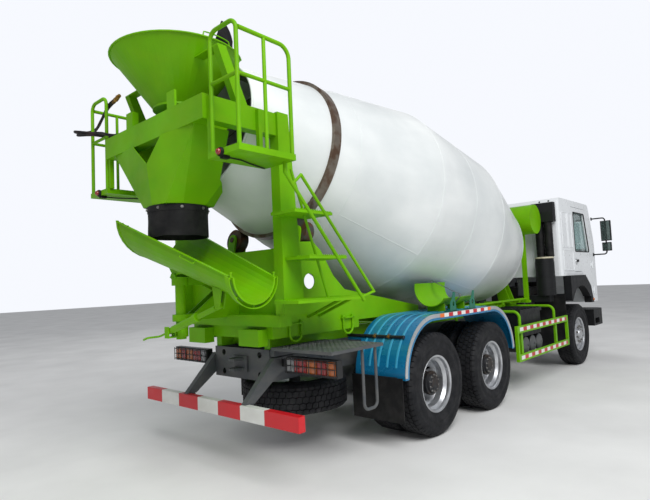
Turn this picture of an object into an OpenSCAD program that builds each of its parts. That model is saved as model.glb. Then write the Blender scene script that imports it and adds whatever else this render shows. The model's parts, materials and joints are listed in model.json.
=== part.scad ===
// Concrete mixer truck, three axles, drum on a cab-over chassis.
// X points forward, Y to the left, Z up. The origin is on the ground, midway along the truck.

/* [Overall] */
// Rearmost axle to the rear of the charging hopper
rear_overhang = 2900; // [2700:10:3100]
// Rearmost axle to the middle axle
tandem_step = 1350; // [1300:10:1450]
// Middle axle to the front axle
wheelbase = 3825; // [3775:10:4000]
// Front axle to the face of the bumper
front_overhang = 1500; // [1450:10:1560]

/* [Wheels] */
// Radius of a tyre
tyre_r = 542.5; // [525:0.5:550]
// Width of a tyre
tyre_w = 300; // [280:1:310]
// Radius of the wheel where the tyre sits
rim_r = 286; // [280:1:300]
// Centre of a front tyre from the middle of the truck
front_track_y = 1011; // [1000:1:1030]
// Centre of an outer rear tyre from the middle of the truck
rear_outer_y = 1083; // [1070:1:1095]
// Spacing of the two tyres of a twin wheel
twin_step = 337; // [325:1:345]
// Kingpin inside the centre of a front tyre
kingpin_in = 171; // [160:1:180]

/* [Chassis] */
// Top of the chassis rails above the ground
frame_top = 1060; // [1050:5:1090]
// Height of a chassis rail
rail_h = 300; // [270:5:310]
// Width over the outside of the chassis rails
rail_span = 850; // [820:2:860]
// Width of a rail's flange
rail_flange = 90; // [70:1:95]
// Thickness of the rails and of the rear plate
rail_t = 8; // [6:1:12]
// Rear end of the rails behind the rearmost axle
rail_tail = 1660; // [1620:5:1700]
// Height of the mixer's own subframe on the chassis rails
sub_h = 120; // [100:5:125]
// Width of a subframe beam
sub_w = 80; // [60:2:84]

/* [Drum] */
// Tilt of the drum's axis, high at the rear
drum_tilt = 11.5; // [11:0.1:12]
// Height of the drum's axis above the rearmost axle
drum_z = 2818; // [2800:2:2850]
// Radius of the drum's cylinder
drum_r = 1225; // [1190:1:1235]
// Thickness of the drum's plate
drum_t = 6; // [4:0.5:10]
// Radius of the drum's roller ring
ring_r = 893; // [889:1:905]
// Width of the roller ring
ring_w = 100; // [80:2:120]
// Radius of a support roller
roller_r = 125; // [110:1:135]
// Angle of each support roller from the drum's lowest line
roller_angle = 30; // [27:0.5:33]

/* [Hoppers] */
// Height of the charging hopper's rim above the ground
hopper_z = 3800; // [3780:5:3840]
// Radius of the charging hopper's rim
hopper_r = 600; // [560:5:610]
// Thickness of the hopper and chute plates
plate_t = 6; // [4:0.5:8]
// Distance of the chute post behind the rearmost axle
post_back = 2330; // [2320:2:2345]
// Radius of the chute post
post_r = 45; // [40:1:50]

/* [Cab] */
// Width of the cab
cab_w = 2300; // [2260:2:2330]
// Top of the roof above the ground
roof_z = 2990; // [2960:5:3010]
// Rear wall of the cab behind the front axle
cab_behind = 725; // [705:2:735]
// Thickness of the cab's walls and doors
cab_wall = 55; // [45:1:60]
// Gap around each door
door_gap = 8; // [6:0.5:10]
// Thickness of the window glass
glass_t = 6; // [4:0.5:8]

/* [Fits] */
// Gap between a piece and its seat
seat = 0.3; // [0.2:0.05:0.5]
// Radial clearance of pins and shafts
pin_gap = 0.1; // [0.02:0.01:0.1]

/* [Hidden] */
$fn = 48;

axle3_x = rear_overhang - (rear_overhang + tandem_step + wheelbase + front_overhang) / 2;
mid_x = tandem_step;
front_x = tandem_step + wheelbase;
nose_x = front_x + front_overhang;
cab_back_x = front_x - cab_behind;
kingpin_y = front_track_y - kingpin_in;
rail_y = rail_span / 2;
sub_y = rail_y - rail_flange / 2;
sub_top = frame_top + seat + sub_h;
green = "yellowgreen";

// Everything below is placed from the rearmost axle.
module at_axle3() { translate([axle3_x, 0, 0]) children(); }

// Both sides of the truck.
module both() {
    children();
    mirror([0, 1, 0]) children();
}

// A box between two opposite corners.
module block(low, high) { translate(low) cube(high - low); }

// A plate with an outline in X and Z, from y0 to y1.
module plate_xz(y0, y1) { translate([0, y1, 0]) rotate([90, 0, 0]) linear_extrude(y1 - y0) children(); }

// A plate with an outline in Y and Z, from x0 to x1.
module plate_yz(x0, x1) { translate([x0, 0, 0]) rotate([90, 0, 90]) linear_extrude(x1 - x0) children(); }

// A plate with an outline in X and Y, from z0 to z1.
module plate_xy(z0, z1) { translate([0, 0, z0]) linear_extrude(z1 - z0) children(); }

// A round bar between two points.
module rod(a, b, r) {
    d = b - a;
    translate(a) rotate([0, acos(d[2] / norm(d)), atan2(d[1], d[0])]) cylinder(r = r, h = norm(d));
}

function unit(v) = v / norm(v);
function bend_cut(u, v, radius) = radius * tan(acos(u * v) / 2);

// A bent tube through a list of points, with the same bend radius at each inner point.
module bent_tube(pts, r, bend) {
    last = len(pts) - 1;
    dirs = [for (i = [0:last - 1]) unit(pts[i + 1] - pts[i])];
    cuts = [for (i = [0:last]) i == 0 || i == last ? 0 : bend_cut(dirs[i - 1], dirs[i], bend)];
    for (i = [0:last - 1]) rod(pts[i] + dirs[i] * cuts[i], pts[i + 1] - dirs[i] * cuts[i + 1], r);
    for (i = [1:1:last - 1]) {
        u = dirs[i - 1];
        v = dirs[i];
        n = unit(v - u * (u * v));
        w = cross(u, n);
        c = pts[i] - u * cuts[i] + n * bend;
        multmatrix([[-n[0], u[0], w[0], c[0]], [-n[1], u[1], w[1], c[1]], [-n[2], u[2], w[2], c[2]]])
            rotate_extrude(angle = acos(u * v)) translate([bend, 0]) circle(r);
    }
}

// A square with round corners.
module round_square(size, r) {
    translate([r, 0]) square([size[0] - 2 * r, size[1]]);
    translate([0, r]) square([size[0], size[1] - 2 * r]);
    for (x = [r, size[0] - r], y = [r, size[1] - r]) translate([x, y]) circle(r);
}

function arc(c, r, a0, a1, n) = [for (i = [0:n]) c + r * [cos(a0 + (a1 - a0)
    * i / n), sin(a0 + (a1 - a0) * i / n)]];

// Chassis

rail_nose = nose_x - 275;
// Places of the cross members ahead of the rearmost axle
cross_x = [-1250, mid_x / 2, mid_x + 800, front_x - 1875];
tow_x = -rail_tail - seat - rail_t;
tow_z = frame_top - rail_h / 2;
tow_pin_r = 20;
plate_hole_r = 30;
plate_hole_y = 280;
plate_hole_z = 95;
// Half the room between the rails' webs
rail_inner = rail_y - rail_t - seat;

module rail() {
    plate_yz(-rail_tail, rail_nose) translate([rail_y, frame_top]) mirror([1, 0]) mirror([0, 1])
        difference() {
            square([rail_flange, rail_h]);
            translate([rail_t, rail_t]) square([rail_flange, rail_h - 2 * rail_t]);
        }
}

module frame_rails() {
    color("dimgray") at_axle3() {
        both() rail();
        for (x = cross_x)
            translate([x, -rail_inner, tow_z + 60]) rotate([-90, 0, 0])
                cylinder(r = 55, h = 2 * rail_inner);
        difference() {
            block([tow_x, -rail_y, frame_top - rail_h], [-rail_tail - seat, rail_y, frame_top]);
            for (y = [-plate_hole_y, plate_hole_y], z = [-plate_hole_z, plate_hole_z])
                translate([tow_x - 1, y, tow_z + z]) rotate([0, 90, 0])
                    cylinder(r = plate_hole_r, h = rail_t + 2);
        }
        tow_jaw();
        tow_eye();
        both() {
            for (y = [340, 400]) plate_xz(y, y + 20) polygon([[rail_nose - 40, frame_top - 250],
                [pivot[0] - 20, 800],
                [pivot[0] + 20, pivot[1] - 30], [pivot[0] + 30, pivot[1]], [pivot[0], pivot[1] + 32],
                [pivot[0] - 40, pivot[1] + 10], [rail_nose - 40, frame_top - 20]]);
            translate([pivot[0], 340, pivot[1]]) rotate([-90, 0, 0]) cylinder(r = 16, h = 80);
            block([cab_back_x + 30, rail_y - rail_flange, frame_top + seat],
                [cab_back_x + 110, rail_y, floor_z - seat]);
        }
    }
}

// Rear jaw with a hole for a drop pin.
module tow_jaw() {
    difference() {
        union() {
            block([tow_x - 20, -110, tow_z - 75], [tow_x, 110, tow_z + 75]);
            for (z = [-60, 35]) plate_xy(tow_z + z, tow_z + z + 25)
                polygon([[tow_x - 15, -70], [tow_x - 15, 70], [tow_x - 120, 45], [tow_x - 140, 0],
                    [tow_x - 120, -45]]);
        }
        translate([tow_x - 90, 0, tow_z - 80]) cylinder(r = tow_pin_r, h = 160);
    }
}

// Front towing eye between the bumper's halves.
module tow_eye() {
    difference() {
        union() {
            block([rail_nose - 90, -rail_inner, 780], [rail_nose - 40 - seat, rail_inner, 880]);
            for (y = [220, 299]) block([rail_nose - 50, y, 800], [nose_x - 110, y + 40, 860]);
        }
        translate([nose_x - 150, 200, 830]) rotate([-90, 0, 0]) cylinder(r = tow_pin_r, h = 160);
    }
}

bar_x = -2040;
bar_z = 500;
bar_h = 125;
bar_half = 1170;
bar_d = 70;

module rear_bumper() {
    color("dimgray") at_axle3() {
        block([bar_x, -bar_half, bar_z], [bar_x + bar_d, bar_half, bar_z + bar_h]);
        both() plate_xz(rail_y + seat, rail_y + 60) polygon([
            [bar_x + bar_d - 60, bar_z + bar_h - 5], [bar_x + bar_d + 50, bar_z + bar_h - 5],
            [bar_x + bar_d, bar_z + 10], [bar_x + bar_d - 10, bar_z + 10],
            [bar_x + bar_d - 10, bar_z + bar_h - 5]]);
        both() plate_xz(rail_y + seat, rail_y + 60) polygon([
            [bar_x + 20, bar_z + bar_h - 1], [bar_x + 130, bar_z + bar_h - 1], [-1590, 850],
            [-1380, 850], [-1380, 990], [-1660, 990]]);
    }
}

lamp_x = -1640;
lamp_y0 = 620;
lamp_y1 = 1240;
lamp_z0 = 860;
lamp_z1 = 1010;

module tail_lamps() {
    color("firebrick") at_axle3() both() {
        block([lamp_x, lamp_y0, lamp_z0], [lamp_x + 70, lamp_y1, lamp_z1]);
        block([lamp_x + 69, rail_y + 60 + seat, 900], [lamp_x + 79, lamp_y0 + 200, 970]);
        for (z = [lamp_z0 + 20, (lamp_z0 + lamp_z1) / 2, lamp_z1 - 20])
            rod([lamp_x - 20, lamp_y0, z], [lamp_x - 20, lamp_y1, z], 4);
        for (i = [0:8]) {
            y = lamp_y0 + 10 + i * (lamp_y1 - lamp_y0 - 20) / 8;
            rod([lamp_x - 23, y, lamp_z0 + 5], [lamp_x - 23, y, lamp_z1 - 5], 4);
        }
        for (y = [lamp_y0 + 10, lamp_y1 - 10], z = [lamp_z0 + 20, lamp_z1 - 20])
            rod([lamp_x - 20, y, z], [lamp_x + 1, y, z], 4);
    }
}

// Rear face of the gearbox, from the front axle
gearbox_x = -1225;

// Engine, gearbox and radiator, each as one plain block.
module engine() {
    color("slategray") at_axle3() translate([front_x, 0, 0]) {
        block([-375, -330, 640], [675, 330, 1420]);
        block([gearbox_x, -230, 700], [-374, 230, 1060]);
        block([805, -330, 900], [955, 330, 1500]);
        block([674, -120, 950], [806, 120, 1250]);
        for (y = [-rail_inner, 329]) block([-175, y, 960], [-55, y + rail_inner - 329, 1030]);
    }
}

axle_r = 60;
spring_y = 410;
// Underside of the rear springs, on the pads of their axles
spring_z = 640;

module front_axle() {
    color("dimgray") at_axle3() {
        block([front_x - 50, -kingpin_y + 130, tyre_r - 170], [front_x + 50, kingpin_y - 130, tyre_r - 60]);
        both() {
            hull() {
                block([front_x - 50, kingpin_y - 150, tyre_r - 170],
                    [front_x + 50, kingpin_y - 130, tyre_r - 60]);
                block([front_x - 45, kingpin_y - 60, tyre_r - 70],
                    [front_x + 45, kingpin_y - 50, tyre_r + 50]);
            }
            difference() {
                translate([front_x, kingpin_y, tyre_r - 70]) cylinder(r = 52, h = 140);
                translate([front_x, kingpin_y, tyre_r - 71]) cylinder(r = 25, h = 142);
            }
            block([front_x - 45, kingpin_y - 51, tyre_r - 69], [front_x + 45, kingpin_y - 35, tyre_r + 50]);
        }
    }
}

// One driving axle: tube, differential and hub ends.
module drive_axle(x) {
    translate([x, 0, tyre_r]) {
        rotate([90, 0, 0]) cylinder(r = axle_r, h = 2 * (rear_outer_y - 60), center = true);
        sphere(r = 190);
        rotate([90, 0, 0]) cylinder(r = 150, h = 330, center = true);
        rod([0, 0, 60], [330, 0, 100], 60);
        for (y = [-spring_y, spring_y]) block([-60, y - 45, 50], [60, y + 45, spring_z - tyre_r]);
    }
}

module rear_axles() {
    color("dimgray") at_axle3() {
        drive_axle(0);
        drive_axle(mid_x);
        rod([320, 0, tyre_r + 100], [mid_x - 120, 0, tyre_r + 90], 45);
        rod([mid_x + 320, 0, tyre_r + 100], [front_x + gearbox_x - 20, 0, 850], 45);
        translate([front_x + gearbox_x - 40, 0, 850]) rotate([0, 90, 0]) cylinder(r = 60, h = 40 - seat);
    }
}

// Leaf packs and their shackles, one below each rail.
module springs() {
    color("dimgray") at_axle3() both() {
        for (i = [0:4]) {
            half = 640 - i * 95;
            plate_xz(spring_y - 40, spring_y + 40) translate([front_x, tyre_r - 60 + seat + (4 - i)
                * 18]) polygon([
                [-half, 19 + half / 9], [-half, half / 9], [0, 0], [half, half / 9],
                    [half, 19 + half / 9], [0, 19]]);
        }
        for (s = [-1, 1]) block([front_x + s * 610 - 40, spring_y - 20, tyre_r + 75],
            [front_x + s * 610 + 40, spring_y + 15, frame_top - rail_h - seat]);
        block([mid_x / 2 - 90, spring_y - 45, 560],
            [mid_x / 2 + 90, spring_y + 15, frame_top - rail_h - seat]);
        for (i = [0:5]) {
            half = 700 - i * 90;
            block([mid_x / 2 - half, spring_y - 45, spring_z + i * 20 + seat],
                [mid_x / 2 + half, spring_y + 45, spring_z + i * 20 + 20]);
        }
    }
}

// Section of a tyre from its seat outwards.
module tyre_section() {
    w = tyre_w / 2;
    polygon(concat(
        [[rim_r, -w * 0.72], [rim_r + 18, -w * 0.82]],
        arc([tyre_r - 150, 0], w, -115, -68, 6),
        [[tyre_r - 22, -w * 0.92], [tyre_r - 6, -w * 0.84], [tyre_r, -w * 0.6], [tyre_r, w * 0.6],
         [tyre_r - 6, w * 0.84], [tyre_r - 22, w * 0.92]],
        arc([tyre_r - 150, 0], w, 68, 115, 6),
        [[rim_r + 18, w * 0.82], [rim_r, w * 0.72]]));
}

module tyre() { rotate_extrude() tyre_section(); }

// Wheel with the outer face of its disc at height d from the middle of the tyre.
module rim(d) {
    w = tyre_w / 2;
    side = sign(d);
    a = abs(d);
    rotate_extrude() polygon([
        [rim_r - seat, -w * 0.72], [rim_r - seat, -w * 0.5], [rim_r - 30, -w * 0.3],
        [rim_r - 30, w * 0.3], [rim_r - seat, w * 0.5], [rim_r - seat, w * 0.72],
        [rim_r + 15, w * 0.72 + 13.5], [rim_r + 12, w * 0.72 + 20], [rim_r - 12, w * 0.72 + 6],
        [rim_r - 12, w * 0.52], [rim_r - 42, w * 0.32], [rim_r - 42, -w * 0.32], [rim_r - 12, -w * 0.52],
        [rim_r - 12, -w * 0.72 - 6], [rim_r + 12, -w * 0.72 - 20], [rim_r + 15, -w * 0.72 - 13.5]]);
    difference() {
        rotate_extrude() polygon([
            [rim_r - 36, side * 44], [rim_r - 36, side * 30], [rim_r - 60, side * 28],
                [150, side * (a - 14)],
            [100, side * (a - 14)], [100, side * a], [155, side * a], [rim_r - 60, side * 44]]);
        for (i = [0:9]) rotate(i * 36) translate([195, 0, -w - 40]) cylinder(r = 22, h = 2 * w + 80);
    }
}

module hub(r, z0, z1) { translate([0, 0, z0]) cylinder(r = r, h = z1 - z0); }

// A wheel with its axis along Y, facing side s.
module on_axle(x, y, s) { translate([x, s * y, tyre_r]) rotate([-90 * s, 0, 0]) children(); }

module front_wheel(s) {
    on_axle(front_x, front_track_y, s) {
        tyre();
        rim(110);
        difference() {
            hub(115, 40, 150);
            translate([0, 0, -1]) hub(40 + pin_gap, 0, 122);
        }
    }
}

module twin_wheel(x, s) {
    on_axle(x, rear_outer_y, s) {
        tyre();
        rim(-(twin_step - seat) / 2);
        difference() {
            union() {
                hub(130, -170, 60);
                hub(105, 59, 95);
            }
            translate([0, 0, -171]) cylinder(r = axle_r + pin_gap, h = 171 - 58);
        }
        translate([0, 0, -twin_step]) {
            tyre();
            rim((twin_step - seat) / 2);
        }
    }
}

module wheel_front_left() { color("dimgray") at_axle3() front_wheel(1); }
module wheel_front_right() { color("dimgray") at_axle3() front_wheel(-1); }
module wheel_mid_left() { color("dimgray") at_axle3() twin_wheel(mid_x, 1); }
module wheel_mid_right() { color("dimgray") at_axle3() twin_wheel(mid_x, -1); }
module wheel_rear_left() { color("dimgray") at_axle3() twin_wheel(0, 1); }
module wheel_rear_right() { color("dimgray") at_axle3() twin_wheel(0, -1); }

// Steering knuckle of side s, with its kingpin, spindle and brake drum.
module knuckle(s) {
    translate([front_x, s * kingpin_y, tyre_r]) {
        cylinder(r = 25 - pin_gap, h = 220, center = true);
        for (z = [71, -110]) translate([0, 0, z]) {
            cylinder(r = 50, h = 39);
            block([-40, s > 0 ? 20 : -80, 0], [40, s > 0 ? 80 : -20, 39]);
        }
        block([-40, s > 0 ? 58 : -82, -110], [40, s > 0 ? 82 : -58, 110]);
        rotate([-90 * s, 0, 0]) {
            translate([0, 0, 81]) cylinder(r = 40, h = front_track_y - kingpin_y + 119 - 81);
            translate([0, 0, 81]) cylinder(r = 195, h = front_track_y - kingpin_y + 34 - 81);
        }
    }
}

module knuckle_left() { color("dimgray") at_axle3() knuckle(1); }
module knuckle_right() { color("dimgray") at_axle3() knuckle(-1); }

guard_y0 = 620;
guard_y1 = 1245;
guard_r = 600;
guard_t = 5;
guard_z = 680;
guard_back = -50;
guard_front = mid_x + 20;

// Outline of the long mudguard in X and Z, at a distance d inside its outer face.
module guard_line(d) {
    polygon(concat(arc([guard_back, guard_z], guard_r - d, 180, 90, 16), arc([guard_front, guard_z],
        guard_r - d, 90, 0, 16)));
}

module mudguards() {
    color("steelblue") at_axle3() both() {
        plate_xz(guard_y0, guard_y1) difference() {
            guard_line(0);
            translate([0, -0.01]) guard_line(guard_t);
        }
        plate_xz(guard_y1 - guard_t, guard_y1) difference() {
            guard_line(0);
            translate([0, -0.01]) guard_line(65);
        }
        for (x = [400, 900]) {
            block([x, rail_y + seat, 1200], [x + 50, guard_y0 + 200, 1259]);
            block([x, guard_y0, 1258], [x + 50, guard_y0 + 200, guard_z + guard_r - guard_t + 1]);
        }
        rod([-500, rail_y + seat, 1050], [-500, guard_y1 - 60, 1050], 18);
    }
}

flap_t = 10;

module mudflaps() {
    color("black") at_axle3() both() {
        plate_xz(guard_y0, guard_y1) translate([guard_back - guard_r - 60, 280]) square([flap_t, 430]);
        block([guard_back - guard_r - 51, guard_y0, 685],
            [guard_back - guard_r - seat, guard_y1 - 100, 705]);
        block([cab_back_x + 30, 620, 360], [cab_back_x + 30 + flap_t, 1150, 1300]);
        block([cab_back_x + 20, rail_y + seat, 1240], [cab_back_x + 31, 1100, 1270]);
    }
}

side_y = 1220;
side_x0 = mid_x + 800;
side_x1 = front_x - 905;
side_z0 = 460;
side_z1 = 950;
tube_r = 21;

module side_guards() {
    color(green) at_axle3() both() {
        for (z = [side_z0, side_z1 - 100])
            block([side_x0 + 40 + seat, side_y - 12, z], [side_x1 - 40 - seat, side_y + 12, z + 100]);
        for (x = [side_x0, side_x1 - 40]) block([x, side_y - 30, side_z0], [x + 40, side_y + 12, side_z1]);
        for (x = [side_x0 + 200, side_x1 - 520]) {
            bent_tube([[x, rail_y + 60 + seat, 1140], [x, side_y - 35, 1140],
                [x, side_y - 35, side_z0 + 20]], tube_r, 90);
            block([x - 40, rail_y + seat, 1000], [x + 40, rail_y + 61, 1180]);
            block([x - 30, side_y - 18, side_z0 + 20], [x + 30, side_y - 12 - seat, side_z1 - 10]);
        }
    }
}

fuel_x0 = side_x0 + 400;
fuel_x1 = side_x1 - 670;

module fuel_tank() {
    color("silver") at_axle3() {
        plate_xz(rail_y + 70, side_y - 62) translate([fuel_x0, 470])
            round_square([fuel_x1 - fuel_x0, 560], 80);
        for (x = [fuel_x0 + 170, fuel_x1 - 320]) plate_xz(rail_y + seat, rail_y + 71)
            translate([x, 560]) square([60, 440]);
    }
}

module battery_box() {
    color("dimgray") at_axle3() translate([side_x0 + 350, 0, 0]) {
        block([0, -1130, 760], [800, -600, 1100]);
        block([-20, -1150, 1100], [820, -590, 1150]);
        for (i = [0:6]) block([i * 120, -1140, 1149], [40 + i * 120, -600, 1162]);
        for (x = [20, 700]) block([x, -601, 800], [x + 50, -rail_y - seat, 1040]);
        for (x = [140, 400, 660]) {
            translate([x, -1140, 640]) rotate([-90, 0, 0]) cylinder(r = 118, h = 600);
            for (y = [-1110, -600]) translate([x, y, 640]) rotate([-90, 0, 0]) cylinder(r = 121, h = 30);
            block([x - 20, -1100, 740], [x + 20, -620, 761]);
        }
    }
}

intake_x = cab_back_x - 185;
intake_y = -920;

module air_intake() {
    color("black") at_axle3() {
        plate_xy(1290, 1880) translate([intake_x, intake_y]) circle(155);
        plate_xy(1879, 1950) translate([intake_x, intake_y]) circle(150);
        plate_xy(1949, 2620) {
            translate([intake_x + 75, intake_y + 75]) circle(65);
            translate([intake_x + 75, intake_y - 75]) circle(65);
        }
        plate_xz(intake_y - 190, intake_y + 180) polygon([
            [intake_x + 40, 2900], [intake_x + 150, 2900], [intake_x + 150, 2560],
                [intake_x + 5, 2560], [intake_x + 5, 2740]]);
        block([intake_x - 100, -1000, 1180], [intake_x + 100, -rail_y - seat, 1291]);
        block([intake_x - 100, -rail_y - seat - 12, 900], [intake_x + 100, -rail_y - seat, 1181]);
    }
}

module silencer() {
    color("gray") at_axle3() {
        translate([cab_back_x - 600, 820, 720]) rotate([0, 90, 0]) cylinder(r = 200, h = 560);
        for (x = [cab_back_x - 500, cab_back_x - 200]) block([x, rail_y + seat, 880], [x + 40, 820, 960]);
        rod([cab_back_x - 320, 820, 900], [cab_back_x - 320, 820, 1500], 50);
    }
}

bumper_top = 930;
step_x0 = front_x + 775;
step_x1 = front_x + 1125;

module front_bumper() {
    color("gainsboro") at_axle3() {
        difference() {
            plate_xy(620, bumper_top) difference() {
                polygon(concat([[step_x0, 1190], [step_x0, -1190]],
                    arc([nose_x - 200, -990], 200, -90, -20, 6), [[nose_x, -800], [nose_x, 800]],
                    arc([nose_x - 200, 990], 200, 20, 90, 6)));
                polygon([[step_x0 - 1, -870], [step_x1, -870], [nose_x - 155, -700], [nose_x - 70, -650],
                    [nose_x - 70, 650], [nose_x - 155, 700], [step_x1, 870], [step_x0 - 1, 870]]);
            }
            for (s = [-1, 1]) block([nose_x - 120, s > 0 ? 720 : -1000, 700],
                [nose_x + 1, s > 0 ? 1000 : -720, 860]);
            block([step_x0 + 60, -1200, 660], [step_x1, -1120, 760]);
            block([step_x0 + 60, 1120, 660], [step_x1, 1200, 760]);
            block([nose_x - 100, -280, 740], [nose_x + 1, 280, 900]);
        }
        for (y = [-rail_y - 60, rail_y + seat]) block([rail_nose - 200, y, 780],
            [nose_x - 69, y + 60 - seat, 880]);
    }
}

// A lamp with a rounded lens in each pocket of the bumper.
module headlamps() {
    color("lightgray") at_axle3() both() intersection() {
        block([nose_x - 120 + seat, 720 + seat, 700 + seat], [nose_x + 1, 1000 - seat, 860 - seat]);
        plate_xy(700, 860) polygon(concat([[nose_x - 121, 700], [nose_x - 3, 700], [nose_x - 3, 800]],
            arc([nose_x - 203, 990], 200, 20, 60, 6), [[nose_x - 121, 1190]]));
    }
}

module side_step() {
    color("dimgray") at_axle3() {
        block([-1700, -1240, 1062], [-980, -rail_y - 60 - seat, 1090]);
        block([-1660, -rail_y - 61, 1000], [-1000, -rail_y - seat, 1062]);
        bent_tube([[-1250, -1200, 1065], [-1250, -1200, 520], [-1060, -1200, 520],
            [-1060, -1200, 1065]], 14, 60);
    }
}

module spare_wheel() {
    color("dimgray") at_axle3() translate([-1060 - 30, -150, 565]) {
        tyre();
        rim(60);
        translate([0, 0, 40]) cylinder(r = 60, h = tow_z - 15 - 565 - 40);
        block([-230, -60, tow_z - 20 - 565], [60, 60, tow_z + 5 - seat - 565]);
        translate([0, 0, 40]) cylinder(r = 110, h = 20);
    }
}

// Green bodywork below the drum

module subframe() {
    color(green) at_axle3() {
        z0 = frame_top + seat;
        both() block([-1650, sub_y - sub_w / 2, z0], [tank_x + 150, sub_y + sub_w / 2, sub_top]);
        for (x = concat([for (i = [0:6]) 800 * i - 1500], [tank_x + 50]))
            block([x, -sub_y + sub_w / 2 + seat, z0 + 20],
                [x + 70, sub_y - sub_w / 2 - seat, sub_top - 10]);
        both() for (x = [1900, 2600, drive_x - 226]) block([x, sub_y + sub_w / 2 - 1, z0 + 10],
            [x + 60, rail_y + 12, sub_top]);
        both() for (x = [1900, 2600, drive_x - 226]) block([x, rail_y + seat, frame_top - 110],
            [x + 60, rail_y + 12, z0 + 11]);
        for (y = [-640, -700]) rod([1650, y, 1250], [tank_x - 100, y, 1250], 16);
        for (x = [1980, 2900, drive_x - 66]) block([x, -720, 1205],
            [x + 30, -sub_y - sub_w / 2 - seat, 1262]);
        for (x = [1980, 2900, drive_x - 66]) block([x, -rail_y - 30, sub_top - 60],
            [x + 30, -sub_y - sub_w / 2 - seat, 1210]);
    }
}

roller_s = -1110;
roller_d = ring_r + roller_r + seat;
ped_z = sub_top + seat;
side_plate_y = 610;
col_y0 = 745;
col_y1 = 855;
arm_z = [1380, 1700];
arm_h = 60;

// Drum axes: Z runs forward and down along the drum, X points down, from above the rearmost axle.
module on_drum() { translate([0, 0, drum_z]) rotate([0, 90 + drum_tilt, 0]) children(); }

module roller_bearings() {
    on_drum() for (side = [-1, 1], e = [-1, 1])
        translate([roller_d * cos(roller_angle), side * roller_d * sin(roller_angle), roller_s +
            e * 70]) difference() {
            union() {
                translate([-10, 0, 0]) block([0, -60, -10], [205, 60, 10]);
                translate([0, 0, -10]) cylinder(r = 60, h = 20);
            }
            translate([0, 0, -11]) cylinder(r = 30 + pin_gap, h = 22);
        }
}

module rear_pedestal() {
    color(green) at_axle3() {
        for (x = [-1790, -700]) block([x, -side_plate_y - 12, ped_z], [x + 100, side_plate_y + 12, 1300]);
        both() {
            block([-1790, side_plate_y - 60, ped_z], [-560, side_plate_y + 12, 1300]);
            block([-1900, 270, 1120], [-1789, 550, 1270]);
            plate_xz(side_plate_y, side_plate_y + 12) difference() {
                polygon([[-1712, 1299], [-1712, 1700], [-1470, 2070], [-1220, 2080], [-1110, 1990],
                    [-940, 1740], [-640, 1480], [-560, 1299]]);
                translate([-1290, 1690]) circle(75);
            }
            block([-1480, 430, 1990], [-1130, side_plate_y + 1, 2005]);
            plate_xz(side_plate_y - 60, side_plate_y + 1) polygon([[-800, 1340], [-800, 1600],
                [650, 1340], [650, 1260], [-560, 1260]]);
            block([560, sub_y - 20, ped_z], [650, side_plate_y, 1262]);
        }
        block([-1860, -800, 1299], [-1720, 800, 1400]);
        block([-1721, -col_y0 + 1, 1399], [-1709, col_y0 - 1, 2000]);
        block([-1711, -side_plate_y, 1960], [-1470, side_plate_y, 1972]);
        roller_bearings();
        for (z = arm_z) difference() {
            union() {
                block([-post_back, -55, z], [-1720, 55, z + arm_h]);
                translate([-post_back, 0, z]) cylinder(r = 75, h = arm_h);
            }
            translate([-post_back, 0, z - 1]) cylinder(r = post_r + pin_gap, h = arm_h + 2);
        }
        for (y = [-55, 43]) plate_xz(y, y + 12) polygon([
            [-post_back + 100, arm_z[0] + arm_h - 1], [-1721, arm_z[0] + arm_h - 1], [-1721, arm_z[1] + 1],
            [-post_back + 250, arm_z[1] + 1], [-1950, arm_z[1] - 60]]);
    }
}

module hopper_frame() {
    color(green) at_axle3() {
        block([-2610, -830, 2980], [-2490, 830, 3180]);
        both() {
            block([-2491, 730, 2980], [-1760, 830, 3180]);
            plate_xz(col_y0, col_y1) polygon([[-1850, 1400 + seat], [-1600, 1400 + seat],
                [-1640, 2000], [-1720, 3190], [-1850, 3190]]);
            block([-1850, col_y0 - 4, 1400 + seat], [-1722, col_y0 + 1, 1990]);
            plate_xz(720, 790) polygon([[-2230, 3179], [-2120, 3179], [-2330, 3640], [-2420, 3640]]);
        }
        both() block([-2600, 300, 3179], [-2580, 420, 3330]);
        both() block([-2600, 300, 3179], [-2540, 312, 3330]);
    }
}

throat_z = 3330;
throat_r = 230;

// Inner radius of the charging hopper at height z.
function hopper_inner(z) = throat_r - plate_t + (hopper_r - 8 - throat_r) * (z - throat_z)
    / (hopper_z - throat_z);

hopper_x = -rear_overhang + hopper_r;
throat_end = [-1930, 0, 3130];
mouth_s = -2000;
mouth_r = 640;

// The space behind the drum's mouth, up to place s along the drum's axis.
module behind_mouth(s) { on_drum() translate([0, 0, s - 1500]) cylinder(r = 1500, h = 1500); }

// The hopper's funnel, cut off flat behind the drum's mouth, inset by d.
module hopper_cone(d) {
    intersection() {
        translate([hopper_x, 0, throat_z])
            cylinder(r1 = throat_r - d, r2 = hopper_r - 8 - d, h = hopper_z - throat_z);
        behind_mouth(mouth_s - 30 - d);
    }
}

throat_start = [hopper_x, 0, throat_z + 30];
pipe_r = throat_r - 20;

module charge_hopper() {
    color(green) at_axle3() {
        rim = [-1878, 400, hopper_z - 8];
        difference() {
            hopper_cone(0);
            for (z = [-1, 1]) translate([0, 0, z]) hopper_cone(plate_t);
            rod(throat_start, throat_end, pipe_r + seat);
        }
        intersection() {
            translate([hopper_x, 0, hopper_z - 8]) rotate_extrude() translate([hopper_r - 8, 0]) circle(8);
            behind_mouth(mouth_s - 34);
        }
        rod([rim[0], -rim[1], rim[2]], rim, 7);
        both() block([-2420, 450, 3640 + seat], [-2330, 790, 3652]);
    }
}

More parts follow.
